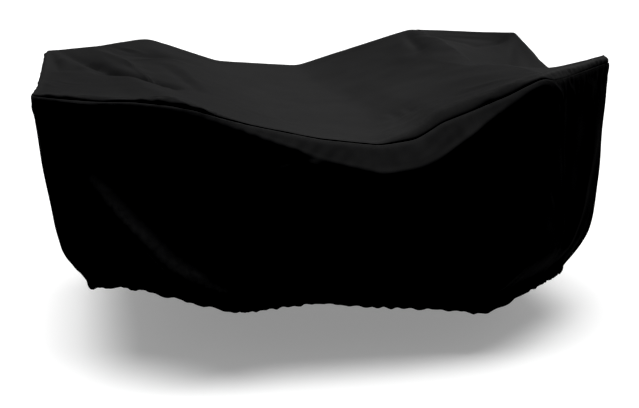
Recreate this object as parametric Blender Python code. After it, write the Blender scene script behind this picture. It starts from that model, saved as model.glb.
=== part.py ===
"""A fitted outdoor cover: a three-panel top that is stretched over four high ridges, and a skirt in two panels
that hangs from it and is drawn in at the hem.

Metres. +X is the right of the front, +Y runs from the front to the back and +Z is up. The origin is under the
middle of the top, where the top rests. Going round always starts at the left end of the front left ridge and
runs against the clock as seen from above.

Each place on the cloth has a level. Level 0 is the edge of the top, where it folds over, and level 1 is the
seam under that fold. The skirt hangs below the seam: level 2 is its shoulder, level 3 the belly above the
tuck, level 4 the foot of the tuck and level 5 the hem.
"""

import math

import bmesh
import bpy
import numpy as np
from mathutils import Vector

CLOTH = 0.002  # thickness of the coated cloth
GAP = 0.0003  # between two pieces that are sewn together
SAG = 0.008  # of the stretched top, halfway between its front and its back
MIDDLE_SAG = dict(x=0.05, width=0.30, depth=0.040)  # and how much more it sags in the middle, where it rests
REST_SOFTNESS = 0.006  # how gently it comes to rest there
CORNER_ROUNDING = 1  # passes that even out the stations, which rounds the corners of the ridges
TUCK_OUT = 0.012  # the foot of the tuck stands this far outside the hem
FOLD_END_HEIGHT = 0.15  # how soon a fold rises at its ends, as a share of a half wave
FOLDS_SHOWN = ((1.5, 2.0, 4.2, 5.0), (0.0, 1.0, 1.0, 0.2))  # how much of the skirt's folds shows, by level
MERGE_DISTANCE = 1e-6
SHARP_FROM = math.radians(50)

# The edge of the top, going round. "steps" is the number of stations up to the next place.
#    place, x, y, z, steps
EDGE = (
    ("left front corner", -0.840, -0.634, 0.172, 4),
    ("front left ridge, middle", -0.620, -0.757, 0.173, 4),
    ("front left corner", -0.395, -0.880, 0.175, 2),
    ("left top seam, front", -0.260, -0.857, 0.118, 2),
    ("front, falling", -0.175, -0.838, 0.087, 5),
    ("front, near the low", 0.030, -0.808, 0.032, 4),
    ("front, low", 0.205, -0.797, 0.002, 2),
    ("front, rolled lip", 0.310, -0.794, 0.036, 2),
    ("front, tallest lip", 0.385, -0.792, 0.092, 2),
    ("front, rising", 0.477, -0.788, 0.117, 3),
    ("front, near the right ridge", 0.600, -0.780, 0.152, 2),
    ("front right corner", 0.706, -0.770, 0.174, 3),
    ("skirt seam, right", 0.792, -0.643, 0.174, 7),
    ("right front corner", 0.991, -0.346, 0.173, 7),
    ("right, low", 0.925, -0.089, 0.014, 5),
    ("right, rising", 0.848, 0.230, 0.107, 4),
    ("right back corner", 0.806, 0.424, 0.175, 10),
    ("right top seam, back", 0.448, 0.735, 0.174, 1),
    ("back right corner", 0.419, 0.760, 0.174, 6),
    ("back, falling", 0.095, 0.800, 0.085, 3),
    ("back, low", -0.044, 0.822, 0.045, 6),
    ("back, level", -0.378, 0.868, 0.077, 4),
    ("back left corner", -0.670, 0.918, 0.184, 2),
    ("left top seam, back", -0.845, 0.714, 0.182, 10),
    ("left back corner", -1.018, 0.540, 0.186, 10),
    ("left, taut", -0.898, -0.210, 0.172, 6),
)

# How the cloth hangs below the edge at the places of EDGE where that changes. "Out" is away from the plan line
# of the edge, "drop" is below the level before.
#    place, lip out, lip drop, shoulder out, shoulder drop, belly out, belly z, tuck z
DRAPE = (
    ("left front corner", 0.014, 0.018, 0.018, 0.040, -0.018, -0.305, -0.455),
    ("front left corner", 0.010, 0.018, 0.018, 0.034, 0.000, -0.330, -0.455),
    ("left top seam, front", 0.008, 0.010, 0.022, 0.024, 0.008, -0.350, -0.460),
    ("front, falling", 0.005, 0.007, 0.034, 0.030, 0.020, -0.370, -0.465),
    ("front, near the low", 0.004, 0.006, 0.045, 0.058, 0.028, -0.380, -0.470),
    ("front, low", 0.004, 0.006, 0.048, 0.078, 0.030, -0.390, -0.490),
    ("front, rolled lip", 0.009, 0.028, 0.050, 0.076, 0.030, -0.395, -0.500),
    ("front, tallest lip", 0.016, 0.056, 0.050, 0.070, 0.028, -0.400, -0.505),
    ("front, rising", 0.014, 0.042, 0.042, 0.058, 0.022, -0.400, -0.515),
    ("front, near the right ridge", 0.010, 0.034, 0.024, 0.042, 0.008, -0.395, -0.522),
    ("front right corner", 0.008, 0.030, 0.012, 0.036, -0.018, -0.390, -0.532),
    ("skirt seam, right", 0.008, 0.028, 0.010, 0.040, -0.022, -0.415, -0.545),
    ("right front corner", 0.006, 0.028, 0.002, 0.040, -0.042, -0.412, -0.562),
    ("right, low", 0.005, 0.010, 0.040, 0.070, 0.024, -0.360, -0.490),
    ("right back corner", 0.006, 0.028, 0.010, 0.050, -0.024, -0.330, -0.480),
    ("right top seam, back", 0.006, 0.028, 0.014, 0.050, -0.012, -0.345, -0.480),
    ("back right corner", 0.006, 0.026, 0.014, 0.050, -0.014, -0.350, -0.480),
    ("back, low", 0.005, 0.008, 0.042, 0.070, 0.026, -0.370, -0.470),
    ("back left corner", 0.008, 0.022, 0.014, 0.050, -0.014, -0.330, -0.440),
    ("left top seam, back", 0.010, 0.024, 0.018, 0.050, -0.012, -0.320, -0.440),
    ("left back corner", 0.010, 0.024, 0.020, 0.050, -0.020, -0.300, -0.430),
    ("left, taut", 0.010, 0.018, 0.024, 0.050, 0.000, -0.320, -0.430),
)

# The hem, at the places of EDGE that it is drawn in from.
#    place, x, y, z
HEM = (
    ("left front corner", -0.752, -0.500, -0.486),
    ("front left ridge, middle", -0.560, -0.600, -0.460),
    ("front left corner", -0.266, -0.757, -0.514),
    ("front, falling", -0.150, -0.727, -0.516),
    ("front, near the low", 0.000, -0.712, -0.512),
    ("front, low", 0.160, -0.704, -0.537),
    ("front, rising", 0.400, -0.702, -0.561),
    ("front right corner", 0.524, -0.703, -0.582),
    ("skirt seam, right", 0.690, -0.470, -0.590),
    ("right front corner", 0.843, -0.262, -0.590),
    ("right, low", 0.748, -0.020, -0.580),
    ("right back corner", 0.692, 0.296, -0.582),
    ("back right corner", 0.312, 0.636, -0.575),
    ("back, low", -0.100, 0.700, -0.530),
    ("back left corner", -0.545, 0.802, -0.535),
    ("left back corner", -0.880, 0.419, -0.525),
    ("left, taut", -0.780, -0.060, -0.480),
)

# Soft folds on the skirt. Places are (distance round, z), and a negative height is a trough.
#    fold, from, to, width, height
SKIRT_FOLDS = (
    ("long pull across the front left ridge", (0.15, -0.06), (0.62, -0.45), 0.040, 0.016),
    ("trough under the long pull", (0.13, -0.14), (0.56, -0.49), 0.040, -0.008),
    ("short pull at the left hem corner", (0.00, -0.33), (0.08, -0.46), 0.030, 0.010),
    ("hanging fold at the front", (0.93, -0.16), (0.90, -0.34), 0.035, 0.008),
    ("pull to the front right hem corner", (1.16, -0.24), (1.44, -0.50), 0.045, 0.010),
    ("pull under the right ridge", (2.06, -0.10), (1.86, -0.46), 0.045, 0.010),
    ("pull down from the right back corner", (2.92, -0.06), (3.26, -0.46), 0.045, 0.014),
    ("hanging fold at the back", (4.00, -0.10), (4.06, -0.40), 0.050, 0.010),
    ("pull down from the back left corner", (4.76, -0.06), (4.52, -0.44), 0.045, 0.012),
    ("pull across the left side", (5.26, -0.06), (5.62, -0.42), 0.050, 0.014),
)

# Soft folds on the top. Places are (x, y), and a negative height is a trough.
#    fold, from, to, width, height
TOP_FOLDS = (
    ("hollow between the right ridges", (0.550, -0.160), (0.850, -0.040), 0.280, -0.045),
    ("trough along the left, back half", (-0.930, 0.560), (-0.680, -0.090), 0.055, -0.024),
    ("trough along the left, front half", (-0.720, -0.020), (-0.470, -0.400), 0.055, -0.022),
    ("pull beside that trough", (-0.860, 0.620), (-0.640, 0.160), 0.040, 0.008),
    ("dip inside the back left ridge", (-0.700, 0.520), (-0.500, 0.470), 0.070, -0.014),
    ("crease from the back right corner", (0.425, 0.700), (0.425, 0.180), 0.038, -0.010),
    ("dip inside the back right ridge", (0.500, 0.580), (0.740, 0.440), 0.070, -0.018),
    ("pull from the right back corner", (0.775, 0.390), (0.690, 0.020), 0.040, 0.010),
    ("pull from the front right corner", (0.640, -0.620), (0.420, -0.380), 0.040, 0.008),
)

SIDE_FADE = 3  # sag and folds fade out over this many columns next to the left and the right edge of the top
# The levels of the rows of points down the hanging cloth. The seam is at SEAM_ROW.
LEVELS = (0.0, 0.5, 1.0, 1.5, 2.0, 2.2, 2.45, 2.7, 2.9, 3.15, 3.45, 3.75, 4.0, 4.5, 5.0)
SEAM_ROW = LEVELS.index(1.0)
ROUNDED_ROWS = slice(LEVELS.index(2.2), LEVELS.index(4.0))  # evened out, so that the belly is round

BLACK_CLOTH = dict(colour=(0.012, 0.012, 0.013, 1.0), roughness=0.62)


# ---- the stations round the cover ----


def station_of(place):
    """The number of the station at a place of EDGE."""
    names = [row[0] for row in EDGE]
    return sum(row[-1] for row in EDGE[: names.index(place)])


STATIONS = sum(row[-1] for row in EDGE)


def evened(values, passes):
    """The values at the stations, each drawn towards its two neighbours."""
    for _ in range(passes):
        values = 0.5 * values + 0.25 * (np.roll(values, 1, axis=0) + np.roll(values, -1, axis=0))
    return values


def round_the_loop(rows, *columns):
    """Columns of a table at every station: straight between the places that the rows name, then rounded."""
    knots = [station_of(row[0]) for row in rows]
    found = [
        np.interp(np.arange(STATIONS), knots, [row[column] for row in rows], period=STATIONS)
        for column in columns
    ]
    return evened(np.stack(found, axis=-1), CORNER_ROUNDING)


def outward(plan):
    """The unit normal of a closed plan line at each station."""
    along = np.roll(plan, -1, axis=0) - np.roll(plan, 1, axis=0)
    normal = np.stack([along[:, 1], -along[:, 0]], axis=1)
    return normal / np.linalg.norm(normal, axis=1, keepdims=True)


def unit(vectors):
    return vectors / np.linalg.norm(vectors, axis=-1, keepdims=True)


# ---- the cloth that hangs from the edge of the top ----


def rings():
    """The cloth's places at levels 0 to 5, before its folds: an array of levels, stations and x, y, z."""
    edge, hem = round_the_loop(EDGE, 1, 2, 3), round_the_loop(HEM, 1, 2, 3)
    lip_out, lip_drop, shoulder_out, shoulder_drop, belly_out, belly_z, tuck_z = round_the_loop(
        DRAPE, *range(1, 8)
    ).T
    edge_plan, hem_plan, edge_z = edge[:, :2], hem[:, :2], edge[:, 2]
    edge_out = outward(edge_plan)
    seam_z = edge_z - lip_drop
    plans = (
        edge_plan,
        edge_plan + edge_out * lip_out[:, None],
        edge_plan + edge_out * shoulder_out[:, None],
        edge_plan + edge_out * belly_out[:, None],
        hem_plan + outward(hem_plan) * TUCK_OUT,
        hem_plan,
    )
    heights = (edge_z, seam_z, seam_z - shoulder_drop, belly_z, tuck_z, hem[:, 2])
    return np.stack([np.column_stack(pair) for pair in zip(plans, heights)])


def fold_heights(folds, places, loop=None):
    """The sum of the soft folds' heights at each place. The first coordinate comes round again after a loop."""
    total = np.zeros(places.shape[:-1])
    for _, start, end, width, height in folds:
        along = np.subtract(end, start)
        offset = places - start
        if loop:
            offset[..., 0] = (offset[..., 0] + loop / 2) % loop - loop / 2
        share = np.clip(offset @ along / (along @ along), 0.0, 1.0)
        away = np.linalg.norm(offset - share[..., None] * along, axis=-1)
        fade = np.sin(math.pi * (FOLD_END_HEIGHT + (1 - 2 * FOLD_END_HEIGHT) * share))
        total += height * fade * np.exp(-((away / width) ** 2))
    return total


def grid_normals(grid):
    """The outward normals of a closed grid of rows down the cloth and stations round it."""
    down = np.gradient(grid, axis=0)
    across = np.roll(grid, -1, axis=1) - np.roll(grid, 1, axis=1)
    return unit(np.cross(down, across))


def hanging_cloth():
    """(places, normals) of the lip and the skirt, one row for each of LEVELS."""
    whole = rings()
    grid = np.empty((len(LEVELS), STATIONS, 3))
    for row, level in enumerate(LEVELS):
        low = min(int(level), len(whole) - 2)
        grid[row] = whole[low] + (whole[low + 1] - whole[low]) * (level - low)
    before, after = grid[:-2], grid[2:]
    even = 0.5 * grid[1:-1] + 0.25 * (before + after)
    grid[ROUNDED_ROWS] = even[ROUNDED_ROWS.start - 1 : ROUNDED_ROWS.stop - 1]
    edge = whole[0]
    lengths = np.linalg.norm(np.roll(edge, -1, axis=0) - edge, axis=1)
    distance_round = np.broadcast_to(np.cumsum(lengths) - lengths, grid.shape[:2])
    heights = fold_heights(SKIRT_FOLDS, np.stack([distance_round, grid[..., 2]], axis=-1), lengths.sum())
    shown = np.interp(LEVELS, *FOLDS_SHOWN)
    grid = grid + grid_normals(grid) * (heights * shown[:, None])[..., None]
    return grid, grid_normals(grid)


HANGING, HANGING_OUT = hanging_cloth()
EDGE_PLACES = HANGING[0]
# Half a gap, down the cloth at the seam under the lip, and round it everywhere.
DOWN_STEP = unit(HANGING[SEAM_ROW + 1] - HANGING[SEAM_ROW - 1]) * GAP / 2
ROUND_STEP = unit(np.roll(HANGING, -1, axis=1) - np.roll(HANGING, 1, axis=1)) * GAP / 2


# ---- the top ----


def stations_between(first, last):
    """The stations from one to another, going round."""
    return np.arange(first, last + 1 if last > first else last + STATIONS + 1) % STATIONS


BACK = stations_between(station_of("right back corner"), station_of("left back corner"))[::-1]
FRONT = stations_between(station_of("left front corner"), station_of("right front corner"))
LEFT = stations_between(station_of("left back corner"), station_of("left front corner"))
RIGHT = stations_between(station_of("right front corner"), station_of("right back corner"))[::-1]
LEFT_SEAM, RIGHT_SEAM = (int(np.argmax(FRONT == station_of(place))) for place in ("left top seam, front", "front right corner"))


def top_surface():
    """(places, normals) of the whole top: rows from the back to the front, columns from the left to the right.

    The cloth is stretched straight from the back edge to the front one. The side panels are drawn out to the
    left and the right edge.
    """
    down, column = np.meshgrid(np.linspace(0, 1, len(LEFT)), np.arange(len(FRONT)), indexing="ij")
    grid = EDGE_PLACES[BACK] * (1 - down[..., None]) + EDGE_PLACES[FRONT] * down[..., None]
    last = len(FRONT) - 1
    for side, border, seam in ((LEFT, 0, LEFT_SEAM), (RIGHT, last, RIGHT_SEAM)):
        share = np.clip((column - seam) / (border - seam), 0.0, 1.0)
        grid = grid + share[..., None] * (EDGE_PLACES[side] - grid[:, border])[:, None]
    plan, height = grid[..., :2], grid[..., 2]
    shown = np.sin(math.pi * down) * np.clip(np.minimum(column, last - column) / SIDE_FADE, 0.0, 1.0)
    middle = np.exp(-(((plan[..., 0] - MIDDLE_SAG["x"]) / MIDDLE_SAG["width"]) ** 2))
    above = height - shown * (SAG + MIDDLE_SAG["depth"] * middle) - CLOTH
    rested = CLOTH + (above + np.hypot(above, REST_SOFTNESS)) / 2
    grid[..., 2] = rested + fold_heights(TOP_FOLDS, plan) * np.sqrt(shown)
    borders = ((BACK, np.s_[0]), (FRONT, np.s_[-1]), (LEFT, np.s_[:, 0]), (RIGHT, np.s_[:, -1]))
    for stations, border in borders:
        grid[border] = EDGE_PLACES[stations]
    normals = unit(np.cross(np.gradient(grid, axis=0), np.gradient(grid, axis=1)))
    for stations, border in borders:  # at its edge the cloth faces halfway between the top's way and the lip's
        HANGING_OUT[0, stations] = unit(normals[border] + HANGING_OUT[1, stations])
    for stations, border in borders:
        normals[border] = HANGING_OUT[0, stations]
    return grid, normals


# ---- solids from grids of the cloth ----


def cloth_material():
    material = bpy.data.materials.new("black_cloth")
    material.use_nodes = True
    shader = material.node_tree.nodes["Principled BSDF"]
    shader.inputs["Base Color"].default_value = BLACK_CLOTH["colour"]
    shader.inputs["Roughness"].default_value = BLACK_CLOTH["roughness"]
    shader.inputs["Metallic"].default_value = 0.0
    return material


def cloth_solid(name, grids, material):
    """A closed sheet from grids of (places, normals) on its outer face, which meet at the points they share."""
    mesh = bmesh.new()
    found = {}

    def pair(place, normal):
        """The outer and the inner vertex at a place, made once."""
        key = tuple(np.round(place / MERGE_DISTANCE).astype(int))
        if key not in found:
            found[key] = [mesh.verts.new(Vector(place - normal * depth)) for depth in (0.0, CLOTH)]
        return found[key]

    outer_edges = {}
    for places, normals in grids:
        pairs = [[pair(*point) for point in zip(*row)] for row in zip(places, normals)]
        for upper, lower in zip(pairs, pairs[1:]):
            for c in range(len(upper) - 1):
                corners = (upper[c], lower[c], lower[c + 1], upper[c + 1])
                for three in (corners[:3], (corners[0], *corners[2:])):
                    mesh.faces.new([vertices[0] for vertices in three])
                    mesh.faces.new([vertices[1] for vertices in reversed(three)])
                    for start, end in zip(three, (*three[1:], three[0])):
                        outer_edges[start[0], end[0]] = (start, end)
    for (start, end), (first, second) in outer_edges.items():
        if (end, start) in outer_edges:
            continue
        rim = [second[0], first[0], first[1], second[1]]
        if start.co.z > end.co.z:  # so that the rims of two neighbours are cut the same way
            rim = rim[1:] + rim[:1]
        mesh.faces.new(rim[:3])
        mesh.faces.new([rim[0], rim[2], rim[3]])
    data = bpy.data.meshes.new(name)
    mesh.to_mesh(data)
    mesh.free()
    data.materials.append(material)
    solid = bpy.data.objects.new(name, data)
    bpy.context.scene.collection.objects.link(solid)
    data.shade_smooth()
    data.set_sharp_from_angle(angle=SHARP_FROM)
    return solid


def lip_strip(first, last):
    """(places, normals) of the lip between two stations, down to the seam under it."""
    stations = stations_between(first, last)
    places, normals = HANGING[: SEAM_ROW + 1, stations].copy(), HANGING_OUT[: SEAM_ROW + 1, stations]
    places[-1] -= DOWN_STEP[stations]
    return places, normals


def seam_step(column):
    """Half a gap, level and to the right of a seam across the top."""
    along = EDGE_PLACES[BACK[column], :2] - EDGE_PLACES[FRONT[column], :2]
    return np.append(unit(np.array([along[1], -along[0]])) * GAP / 2, 0.0)


# ---- the pieces ----


def top_panel(name, surface, first, last, material):
    """A panel of the top between two columns, with the lips that hang from it.

    Its sides are the left or the right edge of the top, or a seam that it keeps half a gap from.
    """
    places, normals = (part[:, first : last + 1].copy() for part in surface)
    if first == 0:
        lips = [lip_strip(BACK[last], FRONT[last])]
        seam_ends = [(lips[0][0][:, 0], last), (lips[0][0][:, -1], last)]
    elif last == len(FRONT) - 1:
        lips = [lip_strip(FRONT[first], BACK[first])]
        seam_ends = [(lips[0][0][:, 0], first), (lips[0][0][:, -1], first)]
    else:
        lips = [lip_strip(FRONT[first], FRONT[last]), lip_strip(BACK[last], BACK[first])]
        seam_ends = [(lips[0][0][:, 0], first), (lips[0][0][:, -1], last)]
        seam_ends += [(lips[1][0][:, 0], last), (lips[1][0][:, -1], first)]
    if first > 0:
        seam_ends.append((places[:, 0], first))
    if last < len(FRONT) - 1:
        seam_ends.append((places[:, -1], last))
    for border, column in seam_ends:
        border += seam_step(column) * (1 if column == first else -1)
    cloth_solid(name, [(places, normals), *lips], material)


def skirt_panel(name, first, last, material):
    """A skirt panel between two stations, from the seam under the lip to the hem."""
    stations = stations_between(first, last)
    places, normals = HANGING[SEAM_ROW:, stations].copy(), HANGING_OUT[SEAM_ROW:, stations]
    places[0] += DOWN_STEP[stations]
    places[:, 0] += ROUND_STEP[SEAM_ROW:, first]
    places[:, -1] -= ROUND_STEP[SEAM_ROW:, last]
    cloth_solid(name, [(places, normals)], material)


def main():
    for old in list(bpy.data.objects):
        bpy.data.objects.remove(old)
    material = cloth_material()
    surface = top_surface()
    top_panel("top_left", surface, 0, LEFT_SEAM, material)
    top_panel("top_centre", surface, LEFT_SEAM, RIGHT_SEAM, material)
    top_panel("top_right", surface, RIGHT_SEAM, len(FRONT) - 1, material)
    right_seam, left_seam = station_of("skirt seam, right"), station_of("left top seam, back")
    skirt_panel("skirt_front", left_seam, right_seam, material)
    skirt_panel("skirt_back", right_seam, left_seam, material)


main()
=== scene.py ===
# %% [markdown]
# # A fitted outdoor cover, stretched and drawn in
# This cover is sewn from flat panels: three make the top, two make the skirt, and an elastic in the hem draws the
# skirt in. It is pulled over four high ridges, so the cloth is taut between them, sags in the middle and hangs
# straight down below the seam under its rolled edge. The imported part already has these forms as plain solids. Here
# each panel becomes a thin sheet on the same lines, fine enough to show its seams, puckers, creases and gathers.

import math

import bpy
import numpy as np
from mathutils import Matrix


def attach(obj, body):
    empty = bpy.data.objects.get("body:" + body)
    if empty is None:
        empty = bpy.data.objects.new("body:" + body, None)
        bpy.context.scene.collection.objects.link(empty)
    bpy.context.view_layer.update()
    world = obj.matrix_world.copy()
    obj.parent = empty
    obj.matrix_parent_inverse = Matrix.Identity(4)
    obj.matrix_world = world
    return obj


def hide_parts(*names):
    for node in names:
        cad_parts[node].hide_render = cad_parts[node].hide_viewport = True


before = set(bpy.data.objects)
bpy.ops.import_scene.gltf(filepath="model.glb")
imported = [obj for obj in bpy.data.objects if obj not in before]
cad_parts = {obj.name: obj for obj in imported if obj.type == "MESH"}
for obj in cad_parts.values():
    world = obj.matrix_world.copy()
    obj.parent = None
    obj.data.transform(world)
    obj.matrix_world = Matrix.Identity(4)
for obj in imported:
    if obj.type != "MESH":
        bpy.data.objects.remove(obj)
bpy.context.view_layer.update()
print("the packed part's nodes:", ", ".join(sorted(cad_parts)))

# %% [markdown]
# ## The camera
# The picture was taken from just above the height of the cover, with a long lens and the camera slightly rolled.
# A camera's matrix has its right, its up and the reverse of its view as columns, so these three vectors come
# first. That keeps the roll exact, where an aim at a point would lose it.

# %% The camera
CAMERA_PLACE = (0.017, -4.673, 0.736)
CAMERA_PITCH, CAMERA_ROLL = math.radians(13.2057), math.radians(-3.227)
LENS_MM, SENSOR_MM = 74.64, 36.0


def in_scene(name, data):
    """A new object with this data, in the scene."""
    thing = bpy.data.objects.new(name, data)
    bpy.context.scene.collection.objects.link(thing)
    return thing


forward = np.array([0.0, math.cos(CAMERA_PITCH), -math.sin(CAMERA_PITCH)])
level_up = np.array([0.0, math.sin(CAMERA_PITCH), math.cos(CAMERA_PITCH)])
level_right = np.array([1.0, 0.0, 0.0])
right = level_right * math.cos(CAMERA_ROLL) + level_up * math.sin(CAMERA_ROLL)
up = level_up * math.cos(CAMERA_ROLL) - level_right * math.sin(CAMERA_ROLL)

camera_data = bpy.data.cameras.new("camera")
camera_data.lens, camera_data.sensor_width = LENS_MM, SENSOR_MM
camera = in_scene("camera", camera_data)
columns = [*right, 0.0], [*up, 0.0], [*-forward, 0.0], [*CAMERA_PLACE, 1.0]
camera.matrix_world = Matrix(columns).transposed()
bpy.context.scene.camera = camera
print("camera looks along", forward.round(3))

# %% [markdown]
# ## Floor and light
# Black cloth shows its form only by soft light from above. One very wide lamp stands overhead, so the top is lit,
# the shoulder under its front edge catches about half as much, and the skirt falls away into black. A second lamp,
# lower and behind, rakes over the top and brings out its folds. It leaves out the floor, where it would throw a
# long shadow. The floor is white for the camera but lights nothing, because it would turn the black skirt grey.
# Last, the view's black level cuts off the deepest greys, as the picture's own does.

# %% The floor
FLOOR_Z = -0.745
FLOOR_REACH = 30.0
FLOOR_GLOW = 0.26  # lifts the shadow on the floor, as a bright studio does, and lights nothing else


def new_material(name, values):
    """A material with these values set on its shader, and the shader."""
    material = bpy.data.materials.new(name)
    material.use_nodes = True
    shader = material.node_tree.nodes["Principled BSDF"]
    for socket, value in values.items():
        shader.inputs[socket].default_value = value
    return material, shader


floor_mesh = bpy.data.meshes.new("floor")
corners = [(x * FLOOR_REACH, y * FLOOR_REACH, FLOOR_Z) for x, y in ((-1, -1), (1, -1), (1, 1), (-1, 1))]
floor_mesh.from_pydata(corners, [], [(0, 1, 2, 3)])
floor = in_scene("floor", floor_mesh)
floor.visible_diffuse = floor.visible_glossy = False
pale, _ = new_material("pale_floor", {"Base Color": (0.9, 0.9, 0.9, 1.0), "Roughness": 0.9,
                                      "Emission Color": (1.0, 1.0, 1.0, 1.0), "Emission Strength": FLOOR_GLOW})
floor_mesh.materials.append(pale)
print("floor at", FLOOR_Z)

# %% Two wide lamps
OVERHEAD = dict(tilt=-8, turn=0, across=56, strength=3.6)  # degrees, and watts per square metre
RAKING = dict(tilt=52, turn=-20, across=20, strength=0.93)


def wide_lamp(name, tilt, turn, across, strength):
    """A lamp as wide as "across" from far off. It is tilted back from overhead and then turned, in degrees."""
    data = bpy.data.lights.new(name, "SUN")
    data.angle, data.energy = math.radians(across), strength
    lamp = in_scene(name, data)
    lamp.rotation_euler = (-math.radians(tilt), 0.0, math.radians(turn))
    return lamp


wide_lamp("overhead", **OVERHEAD)
raking = wide_lamp("raking", **RAKING)
not_floor = bpy.data.collections.new("not_floor")
not_floor.objects.link(floor)
not_floor.collection_objects[0].light_linking.link_state = "EXCLUDE"
raking.light_linking.receiver_collection = not_floor
print("lamps", OVERHEAD["across"], "and", RAKING["across"], "degrees wide")

# %% The room, and the picture's black
FILL_LIGHT, BACKDROP = 0.22, 1.1  # the room as the cloth gets it, and as the camera sees it
BLACK_POINT = 0.0048  # the picture's blacks are cut off here, as its print has them

world = bpy.data.worlds.new("studio")
bpy.context.scene.world = world
world.use_nodes = True
tree = world.node_tree
seen = tree.nodes.new("ShaderNodeLightPath")
room = tree.nodes.new("ShaderNodeMapRange")
room.inputs["To Min"].default_value, room.inputs["To Max"].default_value = FILL_LIGHT, BACKDROP
tree.links.new(seen.outputs["Is Camera Ray"], room.inputs["Value"])
tree.links.new(room.outputs["Result"], tree.nodes["Background"].inputs["Strength"])
tree.nodes["Background"].inputs["Color"].default_value = (1.0, 1.0, 1.0, 1.0)

view = bpy.context.scene.view_settings
view.view_transform = "Standard"
view.use_curve_mapping = True
view.curve_mapping.black_level = (BLACK_POINT,) * 3
view.curve_mapping.update()
print("the room gives", FILL_LIGHT, "and black starts at", BLACK_POINT)

# %% [markdown]
# ## The lines that the cover hangs in
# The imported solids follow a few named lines. The edge is where the top folds over. Under it comes the lip, down to
# the seam; below the seam the skirt has a shoulder, a belly and a tuck, and it ends at the hem. Each list gives a
# line's places going round, from the left end of the front left ridge, against the clock from above. They are the
# numbers of the part's source, with some moved by up to 50 mm where the picture shows more than the solids have.

# %% The edge
# place, x, y, z, stations up to the next place
EDGE = (
    ("left front corner", -0.832, -0.634, 0.186, 2),
    ("front left ridge, left", -0.730, -0.695, 0.188, 2),
    ("front left ridge, middle", -0.620, -0.757, 0.184, 2),
    ("front left ridge, right", -0.508, -0.818, 0.181, 2),
    ("front left corner", -0.395, -0.878, 0.192, 1),
    ("front left corner, falling", -0.328, -0.868, 0.164, 1),
    ("left top seam, front", -0.260, -0.857, 0.126, 2),
    ("front, falling", -0.175, -0.838, 0.092, 5),
    ("front, near the low", 0.030, -0.808, 0.032, 4),
    ("front, low", 0.205, -0.797, 0.002, 2),
    ("front, rolled lip", 0.310, -0.790, 0.040, 2),
    ("front, tallest lip", 0.385, -0.772, 0.088, 2),
    ("front, rising", 0.475, -0.768, 0.115, 3),
    ("front, near the right ridge", 0.597, -0.768, 0.153, 2),
    ("front right corner", 0.697, -0.745, 0.176, 1),
    ("front right corner, turned", 0.722, -0.706, 0.175, 2),
    ("skirt seam, right", 0.772, -0.629, 0.174, 7),
    ("right front corner", 0.984, -0.343, 0.173, 7),
    ("right, low", 0.925, -0.089, 0.014, 5),
    ("right, rising", 0.848, 0.230, 0.107, 4),
    ("right back corner", 0.806, 0.424, 0.175, 10),
    ("right top seam, back", 0.448, 0.735, 0.174, 1),
    ("back right corner", 0.419, 0.760, 0.174, 6),
    ("back, falling", 0.095, 0.800, 0.085, 3),
    ("back, low", -0.044, 0.822, 0.045, 6),
    ("back, level", -0.378, 0.868, 0.077, 4),
    ("back left corner", -0.670, 0.918, 0.184, 2),
    ("left top seam, back", -0.845, 0.714, 0.182, 10),
    ("left back corner", -1.018, 0.540, 0.193, 10),
    ("left, taut", -0.898, -0.210, 0.172, 6),
)
STATIONS = sum(row[-1] for row in EDGE)
print(len(EDGE), "places and", STATIONS, "stations round the edge")

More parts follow.
